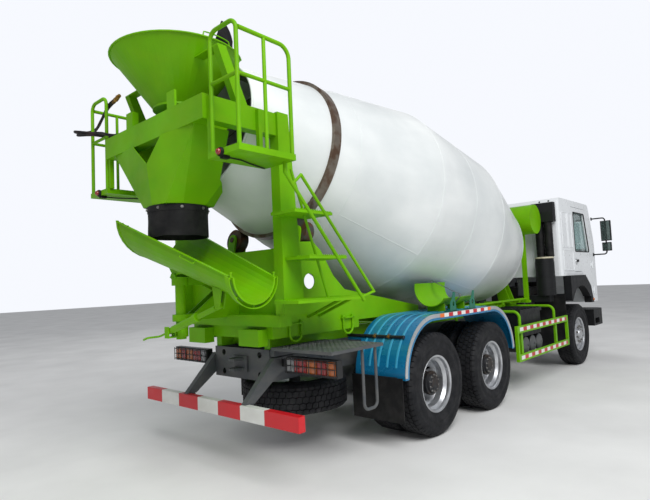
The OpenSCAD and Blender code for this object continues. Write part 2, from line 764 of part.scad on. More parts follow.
// The pipe that leads from the hopper into the drum's mouth, with the flange that closes the funnel.
module hopper_throat() {
    run = 20 * unit(throat_end - throat_start);
    color(green) at_axle3() difference() {
        union() {
            rod(throat_start, throat_end, pipe_r);
            translate([hopper_x, 0, throat_z - 20]) cylinder(r = throat_r, h = 20 - seat);
        }
        rod(throat_start - run, throat_end + run, pipe_r - plate_t);
        translate([0, 0, -seat]) hopper_cone(-seat);
    }
}

neck_z = 2350;
neck_r = 258;
// Lower end of the rubber collar, just above the chute's rim
collar_z = 2130;

// Section of the discharge hopper at height z: half widths at the back and the front.
module collector(d) {
    hull() {
        plate_xy(2979, 2980) polygon([[-2585 + d, 680 - d], [-2660 + d, 0], [-2585 + d, -680 + d],
            [-1960 - d, -680 + d], [-1960 - d, 680 - d]]);
        plate_xy(neck_z + 60, neck_z + 61) translate([-post_back, 0]) polygon([
            [20 - neck_r + d, 190], [d - neck_r - 2, 0], [20 - neck_r + d, -190], [-110, d - neck_r - 5],
            [120, d - neck_r - 5], [neck_r - 3 - d, -190], [neck_r - 3 - d, 190], [120, neck_r + 5 - d],
            [-110, neck_r + 5 - d]]);
    }
}

module discharge_hopper() {
    color(green) at_axle3() {
        difference() {
            collector(0);
            translate([0, 0, 0.5]) collector(plate_t);
            translate([0, 0, -0.5]) collector(plate_t);
            plate_yz(-2700, -2400) polygon([[0, 2770], [-260, 2990], [260, 2990]]);
            plate_xz(-700, 700) polygon([[-2250, 2990], [-1900, 2990], [-1900, 2380], [-2005, 2500],
                [-2160, 2620]]);
        }
        both() block([-2590, 600, 2960], [-2500, 660, 2980 - seat]);
        translate([-post_back, 0, neck_z]) difference() {
            cylinder(r = neck_r, h = 62);
            translate([0, 0, -1]) cylinder(r = neck_r - plate_t, h = 64);
        }
    }
}

rubber_t = 9;
// Outer radius of the flap that stands inside the charging hopper's rim
flap_r = hopper_inner(hopper_z - 8) - seat;

module hopper_rubber() {
    color("black") at_axle3() {
        translate([-post_back, 0, collar_z]) difference() {
            cylinder(r = neck_r + seat + rubber_t, h = neck_z + 58 - collar_z);
            translate([0, 0, -1]) cylinder(r = neck_r + seat, h = neck_z + 60 - collar_z);
        }
        translate([hopper_x, 0, 0]) intersection() {
            translate([0, 0, hopper_z - 8]) difference() {
                cylinder(r = flap_r, h = 250);
                translate([0, 0, -1]) cylinder(r = flap_r - rubber_t, h = 252);
            }
            plate_xz(-flap_r - 1, -300) polygon(concat([[15, hopper_z - 9], [95, hopper_z + 205]],
                arc([70, hopper_z + 20], 185, 80, 15, 5), [[240, hopper_z - 9]]));
        }
    }
}

deck_z = 2700;
deck_x0 = -2590;
deck_x1 = -2020;
deck_y0 = col_y1 + seat;
deck_y1 = 1240;
rail_top = 3640;
rail_r = 17;

module platforms() {
    color(green) at_axle3() {
        both() {
            block([deck_x0, deck_y0, deck_z - 50], [deck_x1, deck_y1, deck_z]);
            for (x = [deck_x0 + 20, deck_x1 - 60]) block([x, 830 + seat, deck_z - 1], [x + 40, 870, 3160]);
            x0 = deck_x0 + 20;
            x1 = deck_x1 - 20;
            y = deck_y1 - 20;
            bent_tube([[x0, deck_y0 + 40, deck_z - 1], [x0, deck_y0 + 40, rail_top],
                [x0, y, rail_top], [x0, y, deck_z - 1]], rail_r, 80);
            bent_tube([[x0 + 16, y, rail_top - 60], [x1, y, rail_top - 60],
                [x1, y, deck_z - 1]], rail_r, 100);
            rod([x0 + 10, y, 3230], [x1, y, 3230], rail_r - 2);
            rod([x0, deck_y0 + 50, 3230], [x0, y, 3230], rail_r - 2);
            rod([(x0 + x1) / 2, y, deck_z - 1], [(x0 + x1) / 2, y, rail_top - 60], rail_r - 2);
        }
    }
}

hose_r = 14;
hose_sides = 8;
fitting_r = 16;
fitting_len = 60;
// Route of the hose that hangs over the left platform's rail, chosen by hand
hose_route = [
    [-2510, 800, 3615], [-2530, 930, 3575], [-2515, 1050, 3530], [-2495, 1170, 3490],
    [-2475, 1280, 3460], [-2470, 1370, 3440], [-2495, 1450, 3425], [-2560, 1485, 3410],
    [-2635, 1465, 3395], [-2680, 1400, 3380], [-2680, 1320, 3360], [-2655, 1220, 3335],
    [-2630, 1120, 3310], [-2615, 1000, 3285], [-2610, 900, 3260], [-2610, 800, 3225],
    [-2580, 700, 3199], [-2550, 600, 3194.5], [-2500, 520, 3194.5], [-2420, 510, 3192],
    [-2360, 560, 3192], [-2345, 640, 3193.5], [-2370, 730, 3194.5], [-2430, 810, 3199],
    [-2530, 940, 3245], [-2580, 1010, 3265], [-2620, 1090, 3285], [-2650, 1180, 3300],
    [-2670, 1270, 3314], [-2670, 1330, 3327], [-2655, 1390, 3345], [-2620, 1440, 3365],
    [-2560, 1455, 3385], [-2505, 1420, 3400], [-2485, 1360, 3415], [-2495, 1270, 3432],
    [-2510, 1170, 3460], [-2525, 1050, 3498], [-2535, 930, 3540], [-2525, 800, 3583]];
hose_last = len(hose_route) - 1;

// Point of the route, or of its straight continuation past an end.
function hose_at(i) = i < 0 ? 2 * hose_route[0] - hose_route[1]
    : i > hose_last ? 2 * hose_route[hose_last] - hose_route[hose_last - 1] : hose_route[i];

// The smooth line through the route's points, with one more point midway along each stretch.
hose_line = [for (i = [0:2 * hose_last]) i % 2 == 0 ? hose_route[i / 2]
    : let (k = (i - 1) / 2) (9 * (hose_at(k) + hose_at(k + 1)) - hose_at(k - 1) - hose_at(k + 2)) / 16];
hose_end = len(hose_line) - 1;

// Corners of the hose's skin round point i of its line.
function hose_ring(i) =
    let (along = unit(hose_line[min(i + 1, hose_end)] - hose_line[max(i - 1, 0)]),
        side = unit(cross(along, [0, 0, 1])), up = cross(side, along))
    [for (k = [0:hose_sides - 1]) let (a = k * 360 / hose_sides)
        hose_line[i] + hose_r * (cos(a) * side + sin(a) * up)];

module hose() {
    color("black") at_axle3() polyhedron(
        points = [for (i = [0:hose_end]) each hose_ring(i)],
        faces = concat(
            [[for (k = [hose_sides - 1:-1:0]) k]],
            [[for (k = [0:hose_sides - 1]) hose_end * hose_sides + k]],
            [for (i = [0:hose_end - 1], k = [0:hose_sides - 1], half = [0, 1])
                let (a = i * hose_sides + k, b = i * hose_sides + (k + 1) % hose_sides)
                half == 0 ? [a, b + hose_sides, a + hose_sides] : [a, b, b + hose_sides]]));
}

// A coupling on each end of the hose.
module hose_fittings() {
    color("goldenrod") at_axle3() for (end = [[0, 1], [hose_end, hose_end - 1]]) {
        tip = hose_line[end[0]];
        rod(tip, tip + fitting_len * unit(tip - hose_line[end[1]]), fitting_r);
    }
}

// Steps of the ladder: rear and front ends, and height.
ladder_steps = [[-1970, -1510, 2280], [-1820, -1340, 1900], [-1970, -1100, 1530]];

ladder_y = 1150;

module ladder() {
    color(green) at_axle3() {
        for (t = ladder_steps) block([t[0], -ladder_y, t[2] - 25], [t[1], -col_y1 - seat, t[2]]);
        rod([-2060, -ladder_y, deck_z - 50 - seat], [-2060, -ladder_y, 2560], rail_r);
        rod([-2064, -ladder_y, 2572], [-1120, -ladder_y, 1490], rail_r - 1);
        rod([-1985, -ladder_y, 2480], [-1876, -ladder_y, 2573], rail_r - 4);
        rod([-1884, -ladder_y, 2572], [-960, -ladder_y, 1560], rail_r - 3);
        rod([-965, -ladder_y, 1568], [-1150, -ladder_y, 1520], rail_r - 4);
        rod([-1850, -1000, deck_z - 50 - seat], [-1440, -1000, 1520], 12);
        for (x = [-1330, -1180]) rod([x, -1060, 1515], [x, -side_plate_y - 12 - 8, 1350], 14);
    }
}

tank_x = cab_back_x - 450;
tank_z = 2600;
tank_half = 910;

module water_tank() {
    color(green) at_axle3() {
        translate([tank_x, -tank_half, tank_z]) rotate([-90, 0, 0]) cylinder(r = 250, h = 2 * tank_half);
        both() {
            block([tank_x - 40, 640, 1220], [tank_x + 40, 700, tank_z - 200]);
            block([tank_x - 60, sub_y - 20, ped_z], [tank_x + 60, 720, 1221]);
        }
    }
}

// Front end of the drum, along the truck and along its axis. On a longer chassis the drum keeps its length.
drive_x = min(3626, tank_x - 374);
nose_s = drive_x / cos(drum_tilt);
// Underside of the drive's foot below the drum's axis
drive_foot = 240;

// Height of the line at distance d below the drum's axis, at place x.
function below_axis(x, d) = drum_z - x * tan(drum_tilt) - d / cos(drum_tilt);

module front_pedestal() {
    color(green) at_axle3() {
        both() {
            for (x = [drive_x + 94, drive_x + 274]) plate_yz(x, x + 36)
                polygon([[500, ped_z], [300, ped_z], [180, below_axis(x, drive_foot + 23)],
                    [300, below_axis(x, drive_foot + 23)]]);
            block([drive_x + 14, 300, ped_z], [drive_x + 310, 520, ped_z + 30]);
        }
        on_drum() block([drive_foot + seat, -300, nose_s + 60], [drive_foot + 46, 300, nose_s + 376]);
    }
}

module drum_drive() {
    color("dimgray") at_axle3() on_drum() {
        difference() {
            union() {
                translate([0, 0, nose_s + 20]) cylinder(r = 200, h = 230);
                translate([0, 0, nose_s + 249]) cylinder(r = 150, h = 170);
                translate([0, 0, nose_s + 418]) cylinder(r = 90, h = 170);
            }
            translate([0, 0, nose_s]) cylinder(r = 70 + pin_gap, h = 120);
        }
        block([150, -260, nose_s + 60], [drive_foot, 260, nose_s + 250]);
    }
}

// Outline of the drum: place along the axis and outer radius.
drum_stations = [[mouth_s, mouth_r], [-800, 948], [387, drum_r - 3], [nose_s - 1690, drum_r],
    [nose_s - 230, 905], [nose_s - 60, 620], [nose_s, 300]];

module drum_shell() {
    color("whitesmoke") at_axle3() on_drum() {
        rotate_extrude() polygon(concat(
            [for (t = drum_stations) [t[1], t[0]]],
            [[0, nose_s]], [[0, nose_s - drum_t]],
            [for (i = [len(drum_stations) - 1:-1:0])
                [drum_stations[i][1] - drum_t - (i == 6 ? 4 : 0),
                    drum_stations[i][0] - (i >= 5 ? drum_t : 0)]]));
        translate([0, 0, mouth_s]) rotate_extrude() translate([mouth_r, 0]) circle(12);
        translate([0, 0, nose_s - 1]) cylinder(r = 70, h = 100);
    }
}

function drum_radius(s) = lookup(s, [for (t = drum_stations) [t[0], t[1]]]);

module drum_ring() {
    color("saddlebrown") at_axle3() on_drum() rotate_extrude() polygon([
        [drum_radius(roller_s - ring_w / 2) + seat, roller_s - ring_w / 2], [ring_r, roller_s - ring_w / 2],
        [ring_r, roller_s + ring_w / 2],
            [drum_radius(roller_s + ring_w / 2) + seat, roller_s + ring_w / 2]]);
}

module roller(side) {
    on_drum() translate([roller_d * cos(roller_angle), side * roller_d * sin(roller_angle), roller_s]) {
        cylinder(r = roller_r, h = ring_w + 10, center = true);
        cylinder(r = 30, h = ring_w + 80, center = true);
    }
}

module roller_left() { color("dimgray") at_axle3() roller(1); }
module roller_right() { color("dimgray") at_axle3() roller(-1); }

// Discharge chute

pivot_z = 1790;
pivot_pin = 12;
jack_side = 110;
jack_z = 1300;
eye_y = -740;
eye_z = 1520;
eye_r = 12;
// The jack's upper eye hangs loose in the chute's lugs.
eye_slack = 2;

module on_post() { translate([-post_back, 0, 0]) children(); }

module chute_post() {
    color(green) at_axle3() on_post() {
        difference() {
            union() {
                translate([0, 0, 1220]) cylinder(r = post_r, h = 550);
                translate([0, 0, arm_z[1] + arm_h + seat]) cylinder(r = 80, h = 14);
                for (x = [-75, 60]) plate_yz(x, x + 15) polygon([[-50, 1770], [50, 1770], [22, 1809],
                    [-22, 1809]]);
            }
            translate([-90, 0, pivot_z]) rotate([0, 90, 0]) cylinder(r = pivot_pin + pin_gap, h = 180);
        }
        difference() {
            union() {
                translate([0, 0, 1240]) cylinder(r = 62, h = 110);
                for (x = [-jack_side - 40, -jack_side + 28]) block([x, -30, 1250], [x + 12, 30, 1340]);
                block([-jack_side - 40, -30, 1240], [-40, 30, 1252]);
            }
            translate([-jack_side - 60, 0, jack_z]) rotate([0, 90, 0])
                cylinder(r = eye_r + pin_gap, h = 110);
        }
    }
}

// Trough of the discharge chute: place across the truck, height of the rim and half width, top to bottom.
trough_top = [500, 2330, 345];
trough_low = [-1050, 1730, 200];

function trough_at(y, i) = trough_low[i] + (trough_top[i] - trough_low[i]) * (y - trough_low[0])
    / (trough_top[0] - trough_low[0]);

// Height inside the trough's plate at place x across it and y along it.
function trough_under(x, y) = trough_at(y, 1) - sqrt(pow(trough_at(y, 2), 2) - x * x) + 2;

// A thin slice of the trough at station t, inset by d.
module trough_body(t, d) {
    translate([0, t[0] + 0.5, t[1]]) rotate([90, 0, 0]) linear_extrude(1) intersection() {
        circle(t[2] - d);
        translate([-500, -500]) square([1000, 500]);
    }
}

// Station of the trough at place y along it.
function trough_station(y) = [for (i = [0:2]) i == 0 ? y : trough_at(y, i)];

// A band round the trough between places y0 and y1, t thicker than its plate.
module trough_band(y0, y1, t) {
    hull() {
        trough_body(trough_station(y0), -t, $fn = 32);
        trough_body(trough_station(y1), -t, $fn = 32);
    }
}

// The folded edge of the trough's rim at station t.
module trough_fold(t) { translate([t[2] - 4, t[0] - 0.5, t[1] - 6]) cube([26, 1, 6]); }

module chute() {
    color(green) at_axle3() on_post() {
        difference() {
            union() {
                trough_band(trough_low[0], trough_top[0], 0);
                trough_band(trough_low[0], trough_low[0] + 45, 10);
                trough_band(trough_top[0] - 30, trough_top[0], 5);
            }
            hull() {
                translate([0, 5, 2]) trough_body(trough_top, plate_t, $fn = 32);
                translate([0, -5, -2]) trough_body(trough_low, plate_t, $fn = 32);
                translate([0, 0, 60]) trough_body(trough_top, plate_t, $fn = 32);
                translate([0, 0, 60]) trough_body(trough_low, plate_t, $fn = 32);
            }
        }
        for (s = [0, 1]) mirror([s, 0, 0]) hull() {
            trough_fold(trough_station(trough_low[0] + 44));
            trough_fold(trough_station(trough_top[0] - 29));
        }
        for (x = [-59, 45]) plate_yz(x, x + 14)
            polygon([[-20, pivot_z - 7], [8, pivot_z - 11], [25, pivot_z],
            [90, trough_under(52, 90)], [-90, trough_under(52, -90)]]);
        translate([-74, 0, pivot_z]) rotate([0, 90, 0]) cylinder(r = pivot_pin, h = 148);
        difference() {
            for (x = [-jack_side - 27, -jack_side + 15]) plate_yz(x, x + 12)
                polygon([[eye_y - 25, eye_z - 25], [eye_y + 25, eye_z - 25],
                    [eye_y + 60, trough_under(x + 6, eye_y + 60)],
                        [eye_y - 60, trough_under(x + 6, eye_y - 60)]]);
            translate([-jack_side - 40, eye_y, eye_z]) rotate([0, 90, 0])
                cylinder(r = eye_r + eye_slack, h = 80);
        }
    }
}

// The screw jack lies along the line between its two eyes.
module on_jack() {
    d = [0, eye_y, eye_z - jack_z];
    translate([-jack_side, 0, jack_z]) rotate([atan2(-d[1], d[2]), 0, 0]) children();
}

jack_len = norm([eye_y, eye_z - jack_z]);

module jack_tube() {
    color(green) at_axle3() on_post() {
        on_jack() {
            difference() {
                union() {
                    translate([0, 0, 58]) cylinder(r = 32, h = 392);
                    translate([-25, -22, -22]) cube([50, 44, 84]);
                    translate([0, 0, 400]) cylinder(r = 38, h = 50);
                }
                translate([0, 0, 65]) cylinder(r = 22 + pin_gap, h = 400);
            }
            rotate([0, 90, 0]) cylinder(r = eye_r, h = 82, center = true);
            bent_tube([[0, 0, -21], [0, 0, -190], [-120, 0, -190], [-120, 0, -260]], 9, 30);
        }
    }
}

module jack_rod() {
    color(green) at_axle3() on_post() {
        on_jack() {
            translate([0, 0, 140]) cylinder(r = 22, h = jack_len - 140 - 50);
            translate([-14, -22, jack_len - 55]) cube([28, 44, 77]);
            translate([0, 0, jack_len]) rotate([0, 90, 0]) cylinder(r = eye_r, h = 54, center = true);
        }
    }
}

spare_y = -1000;
spare_z = 1550;
spare_r = 210;

module spare_chute() {
    color(green) at_axle3() difference() {
        union() {
            translate([300, spare_y, spare_z]) rotate([0, 90, 0]) difference() {
                cylinder(r = spare_r, h = 700);
                rotate(25) translate([-970, -500, -1]) cube([1000, 1000, 702]);
            }
            for (x = [400, 870]) block([x, spare_y - 110, guard_z + guard_r + seat],
                [x + 30, spare_y + 110, spare_z - spare_r + 40]);
        }
        translate([299, spare_y, spare_z]) rotate([0, 90, 0]) cylinder(r = spare_r - plate_t, h = 702);
    }
}

// Cab

half_w = cab_w / 2;
floor_z = 1610;
sill_z = 1080;
screen_low = [nose_x - 115, 1980];
screen_top = [nose_x - 425, 2830];
pivot = [nose_x - 115, 950];
tunnel_y = 450;

// Side outline of the cab, inset by d.
module cab_side(d) {
    polygon(concat(
        [[cab_back_x + d, floor_z + d], [front_x + 325 + d / 2, floor_z + d],
            [front_x + 625 + d, 1400 + d / 2],
        [front_x + 755 + d, sill_z + d],
         [nose_x - 30 - d, sill_z + d], [nose_x - d, 1150], [nose_x - d, 1500],
             [screen_low[0] - d, screen_low[1]],
         [screen_top[0] - d, screen_top[1]]],
        arc([screen_top[0] - 150, roof_z - 150], 150 - d, 45, 90, 3),
        arc([cab_back_x + 100, roof_z - 100], 100 - d, 90, 180, 4)));
}

// Plan outline of the cab, inset by d.
module cab_plan(d) {
    polygon(concat(
        arc([nose_x - 250, half_w - 250], 250 - d, 0, 90, 6), arc([cab_back_x +
            60, half_w - 60], 60 - d, 90, 180, 3),
        arc([cab_back_x + 60, -half_w + 60], 60 - d, 180, 270, 3), arc([nose_x - 250, -half_w +
            250], 250 - d, 270, 360, 6)));
}

module cab_solid(d) {
    intersection() {
        plate_xz(-half_w, half_w) cab_side(d);
        plate_xy(sill_z - 1, roof_z + 1) cab_plan(d);
    }
}

// Outline of a door, larger by g on every side.
module door_outline(g) {
    translate([front_x, 0]) polygon([[-25 - g, 1680 - g], [370, 1680 - g], [675 - g / 2, 1460 - g],
        [815 - g, 1150 - g], [1015 + g, 1150 - g], [1015 + g, 2010], [775 + g, 2870 + g],
            [-25 - g, 2870 + g]]);
}

module window_outline(g) {
    translate([front_x, 0])
        polygon([[55 + g, 2050 + g], [910 - g, 2050 + g], [705 - g, 2780 - g], [55 + g, 2780 - g]]);
}

hinge = [front_x + 1023, half_w + 13];
hinge_z = [1300, 1800];

// One leaf and barrel of a door hinge, on the side that runs from x1 to its edge beside the barrel.
module hinge_leaf(x1, edge, z0, z1) {
    block([min(x1, edge), half_w - 1, z0], [max(x1, edge), half_w + 8, z1]);
    block([min(edge, hinge[0]), half_w + 1, z0], [max(edge, hinge[0]), half_w + 8, z1]);
    translate([hinge[0], hinge[1], z0]) cylinder(r = 12, h = z1 - z0);
}

module on_screen() {
    d = screen_top - screen_low;
    translate([screen_low[0], 0, screen_low[1]]) rotate([0, atan2(d[0], d[1]), 0]) children();
}

screen_len = norm(screen_top - screen_low);

grille_depth = 30;
grille_half = 620;
grille_z0 = 1190;
grille_z1 = 1470;
slat_step = 70;

// Slats of the grille, in the pocket of the cab's front.
module grille() {
    for (z = [grille_z0 + seat:slat_step:grille_z1 - slat_step])
        plate_xz(-grille_half + seat, grille_half - seat)
        translate([nose_x, z]) polygon([[-grille_depth + seat, 0], [-4, 0], [-2, 8], [-14, 44],
            [-grille_depth + seat, 52]]);
    for (y = [-grille_half / 2, 0, grille_half / 2])
        block([nose_x - grille_depth + seat, y - 8, grille_z0 + seat],
            [nose_x - 18, y + 8, grille_z1 - seat]);
}

module cab_shell() {
    color("white") at_axle3() {
        difference() {
            cab_solid(0);
            difference() {
                cab_solid(cab_wall);
                block([front_x - 175, -tunnel_y - cab_wall, 1000],
                    [rail_nose + cab_wall, tunnel_y + cab_wall, floor_z + cab_wall - 1]);
            }
            block([front_x - 175, -tunnel_y, 1000], [rail_nose, tunnel_y, floor_z - 1]);
            both() plate_xz(half_w - cab_wall - 1, half_w + 1) door_outline(door_gap);
            on_screen() block([-cab_wall - 30, -1000, 70], [40, 1000, screen_len - 70]);
            block([nose_x - grille_depth, -grille_half, grille_z0], [nose_x + 1, grille_half, grille_z1]);
        }
        both() {
            for (z = hinge_z) {
                hinge_leaf(hinge[0] + 62, hinge[0] + 1, z - 70, z - 30);
                hinge_leaf(hinge[0] + 62, hinge[0] + 1, z + 30, z + 70);
            }
            difference() {
                plate_xz(362, 398) polygon([[pivot[0] - 30, pivot[1]], [pivot[0] - 12, pivot[1] - 28],
                    [pivot[0] + 12, pivot[1] - 28],
                    [pivot[0] + 30, pivot[1]], [pivot[0] + 40, sill_z + 1], [pivot[0] - 90, sill_z + 1]]);
                translate([pivot[0], 360, pivot[1]]) rotate([-90, 0, 0]) cylinder(r = 16 + pin_gap, h = 60);
            }
        }
    }
}

module cab_glass() {
    color("lightgray") at_axle3()
        on_screen() block([-40, -1000 + seat, 70 + seat],
            [-40 + glass_t, 1000 - seat, screen_len - 70 - seat]);
}

module cab_interior() {
    color("gray") at_axle3() {
        z0 = floor_z + cab_wall + seat;
        for (y = [-600, 600]) translate([front_x + 125, y, 0]) {
            block([100, -150, z0], [450, 150, 1900]);
            plate_xy(1899, 2020) translate([0, -250]) round_square([560, 500], 60);
            plate_xz(-240, 240) polygon([[0, 1950], [110, 1990], [30, 2640], [-70, 2640]]);
        }
        block([cab_back_x + cab_wall + seat, -half_w + 80, z0], [front_x - 175, half_w - 80, 2020]);
        plate_xz(-half_w + 90, half_w - 90) translate([nose_x, 0]) polygon([[-485, 2060], [-425, 2130],
            [-235, 2090], [-195, 1800], [-425, floor_z + 90], [-555, 1800]]);
        block([nose_x - 545, -120, z0 - 1], [nose_x - 375, 120, floor_z + 200]);
        rod([nose_x - 435, 600, 1900], [nose_x - 645, 600, 2190], 30);
        translate([nose_x - 645, 600, 2190]) rotate([0, -36, 0]) {
            rotate_extrude() translate([215, 0]) circle(15);
            block([-210, -15, -8], [210, 15, 8]);
            block([-15, -210, -8], [15, 210, 8]);
        }
    }
}

module cab_trim() {
    color("black") at_axle3() {
        both() plate_xz(half_w - 60, half_w + 70) difference() {
            translate([front_x, 0]) polygon([[-535, 1170], [-535, floor_z - seat],
                [525, floor_z - seat], [785, 1300],
                [785, sill_z], [325, sill_z]]);
            cab_side(0);
            translate([-0.3, -0.3]) cab_side(0);
            translate([0.1, -0.3]) cab_side(0);
            translate([front_x + 25, 750]) circle(r = 670, $fn = 96);
            translate([front_x + 25, 0]) square([570, 1200]);
        }
        grille();
        on_screen() block([seat, -1020, screen_len - 60], [28, 1020, screen_len - 30]);
        plate_xz(-1020, 1020) polygon([[screen_top[0] + 20, 2792], [screen_top[0] + 190, 2700],
            [screen_top[0] + 196, 2712], [screen_top[0] + 30, 2812]]);
    }
}

// Side outline of a mirror, d deep and h high.
module mirror_outline(d, h) {
    polygon([[0, 12], [12, 0], [d - 12, 0], [d, 12], [d, h - 12], [d - 12, h], [12, h], [0, h - 12]]);
}

module mirrors() {
    color("black") at_axle3() translate([front_x + 1175, 0, 0]) both() {
        for (z = [2000, 2720]) block([0, half_w + seat, z - 30], [56, half_w + 12, z + 30]);
        bent_tube([[28, half_w + 5, 2720], [28, 1400, 2720], [28, 1400, 2000],
            [28, half_w + 5, 2000]], 13, 50);
        plate_xz(1320, 1500) translate([0, 2260]) mirror_outline(56, 400);
        plate_xz(1330, 1490) translate([0, 2060]) mirror_outline(56, 170);
    }
}

module door() {
    difference() {
        plate_xz(half_w - cab_wall, half_w) door_outline(0);
        plate_xz(half_w - cab_wall - 1, half_w + 1) window_outline(0);
    }
    for (z = hinge_z) hinge_leaf(hinge[0] - 68, hinge[0] - 9, z - 30 + seat, z + 30 - seat);
    block([front_x + 10, half_w - 1, 1860], [front_x + 155, half_w + 22, 1890]);
}

module door_glass() { plate_xz(half_w - 34, half_w - 34 + glass_t) window_outline(seat); }

module door_left() { color("white") at_axle3() door(); }
module door_right() { color("white") at_axle3() mirror([0, 1, 0]) door(); }
module door_glass_left() { color("lightgray") at_axle3() door_glass(); }
module door_glass_right() { color("lightgray") at_axle3() mirror([0, 1, 0]) door_glass(); }

frame_rails();
rear_bumper();
tail_lamps();
engine();
front_axle();
rear_axles();
springs();
spare_wheel();
side_step();
mudguards();
mudflaps();
side_guards();
fuel_tank();
battery_box();
air_intake();
silencer();
front_bumper();
headlamps();
subframe();
rear_pedestal();
front_pedestal();
hopper_frame();
charge_hopper();
hopper_throat();
discharge_hopper();
hopper_rubber();
platforms();
hose();
hose_fittings();
ladder();
water_tank();
drum_drive();
drum_shell();
drum_ring();
roller_left();
roller_right();
chute_post();
chute();
jack_tube();
jack_rod();
spare_chute();
cab_shell();
cab_glass();
cab_interior();
cab_trim();
mirrors();
door_left();
door_right();
door_glass_left();
door_glass_right();
knuckle_left();
knuckle_right();
wheel_front_left();
wheel_front_right();
wheel_mid_left();
wheel_mid_right();
wheel_rear_left();
wheel_rear_right();
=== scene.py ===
# %% [markdown]
# # A concrete mixer truck
# The steel parts come from the CAD frame, and each of them gets its finish here. What is too small or too
# soft for the CAD part is built here as meshes and curves: the tyre treads, the welds, the bolts, the
# lamps, the tapes and the wash hose. The frame is loaded first, because every piece below is placed from
# it.

# %% Load the frame
import bpy
import bmesh
import json
import math
from mathutils import Matrix, Vector, noise


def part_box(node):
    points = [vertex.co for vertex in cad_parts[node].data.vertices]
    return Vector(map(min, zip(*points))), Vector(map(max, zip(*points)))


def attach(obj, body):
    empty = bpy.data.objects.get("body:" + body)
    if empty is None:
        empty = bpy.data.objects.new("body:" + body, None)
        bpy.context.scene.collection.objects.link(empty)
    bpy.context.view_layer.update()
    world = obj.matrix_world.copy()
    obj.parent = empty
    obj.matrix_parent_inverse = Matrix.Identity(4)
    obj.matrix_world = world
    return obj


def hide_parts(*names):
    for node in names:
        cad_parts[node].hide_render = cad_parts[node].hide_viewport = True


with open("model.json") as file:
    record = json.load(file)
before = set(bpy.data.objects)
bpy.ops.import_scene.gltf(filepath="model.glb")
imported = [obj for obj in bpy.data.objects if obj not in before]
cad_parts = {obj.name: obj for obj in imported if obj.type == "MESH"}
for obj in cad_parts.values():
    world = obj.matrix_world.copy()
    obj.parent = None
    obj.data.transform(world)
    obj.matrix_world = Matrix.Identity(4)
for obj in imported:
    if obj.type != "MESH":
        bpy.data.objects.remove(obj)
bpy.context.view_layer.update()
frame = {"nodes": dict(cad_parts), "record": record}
nodes = frame["nodes"]
bodies = frame["record"]["behaviour"]["bodies"]
body_of_node = {node: body for body, members in bodies.items() for node in members}
scene = bpy.context.scene

# %% [markdown]
# The photograph was taken from behind the right rear corner, with a wide lens at standing height. The
# camera keeps that place, its slight roll, and its lens, so the render can be laid over the photograph. The
# axes of the camera are built from three angles, which is easier to check than Euler angles.

# %% Camera
CAMERA_AT = Vector((-6.7555, -4.106, 1.66))
YAW, PITCH, ROLL = math.radians(42.36), math.radians(3.74), math.radians(-2.53)
LENS_MM, SENSOR_MM = 28.35, 36.0
FAR_LIMIT = 300

forward = Vector((math.cos(PITCH) * math.cos(YAW), math.cos(PITCH) * math.sin(YAW), math.sin(PITCH)))
level = Vector((math.sin(YAW), -math.cos(YAW), 0.0))
upright = level.cross(forward)
right = level * math.cos(ROLL) + upright * math.sin(ROLL)
up = upright * math.cos(ROLL) - level * math.sin(ROLL)

camera_data = bpy.data.cameras.new("camera")
camera_data.lens, camera_data.sensor_width, camera_data.clip_end = LENS_MM, SENSOR_MM, FAR_LIMIT
camera = bpy.data.objects.new("camera", camera_data)
camera.matrix_world = Matrix.Translation(CAMERA_AT) @ Matrix((right, up, -forward)).transposed().to_4x4()
scene.collection.objects.link(camera)
scene.camera = camera
scene.view_settings.view_transform = "Standard"
print("camera looks along", [round(v, 3) for v in forward])

# %% [markdown]
# Finishes are node materials. Each one starts from a base colour, and noise in the colour, the roughness
# and the bump gives it the dust, the orange peel or the casting skin of the real surface. Object
# coordinates are used, because every CAD node has its origin in the same place, so the noise has one scale.

# %% Helpers for finishes
TONE_STOPS = (0.35, 0.65)
TONE_SCALE, DUST_SCALE, GLOSS_SCALE, PEEL_SCALE = 1.6, 5.0, 9.0, 260.0
PEEL_DEPTH = 0.0015
MOST_DUST = 0.35
COAT_ROUGHNESS = 0.12


def srgb(r, g, b):
    """A colour given as 0 to 255, as the linear values that a shader takes."""
    def linear(v):
        v /= 255
        return v / 12.92 if v <= 0.04045 else ((v + 0.055) / 1.055) ** 2.4
    return (linear(r), linear(g), linear(b), 1.0)


def dimmed(colour, amount):
    return tuple(min(1, c * amount) for c in colour[:3]) + (1.0,)


def feed(tree, owner, inputs):
    """Fills inputs of a node: an output is linked, and anything else is set as a constant."""
    for socket, value in inputs.items():
        if hasattr(value, "links"):
            tree.links.new(value, owner.inputs[socket])
        else:
            owner.inputs[socket].default_value = value


def add_node(tree, kind, inputs, output, **settings):
    """Adds a node to a tree, fills its inputs and gives back one of its outputs."""
    node = tree.nodes.new(kind)
    for name, value in settings.items():
        setattr(node, name, value)
    feed(tree, node, inputs)
    return node.outputs[output]


def finish_nodes(name):
    material = bpy.data.materials.new(name)
    material.use_nodes = True
    tree = material.node_tree
    return material, tree, tree.nodes["Principled BSDF"], add_node(tree, "ShaderNodeTexCoord", {}, "Object")


def noise_at(tree, coordinates, scale, detail=4.0, stretch=(1, 1, 1)):
    place = add_node(tree, "ShaderNodeMapping", {"Scale": stretch, "Vector": coordinates}, "Vector")
    return add_node(tree, "ShaderNodeTexNoise", {"Scale": scale, "Detail": detail, "Vector": place}, "Fac")


def ramp(tree, value, stops):
    """A colour ramp over value: stops are pairs of place and colour."""
    node = tree.nodes.new("ShaderNodeValToRGB")
    elements = node.color_ramp.elements
    for element, (place, colour) in zip(elements, stops):
        element.position, element.color = place, colour
    tree.links.new(value, node.inputs["Fac"])
    return node.outputs["Color"]


def two_tones(tree, value, dark, light):
    return ramp(tree, value, zip(TONE_STOPS, (dark, light)))


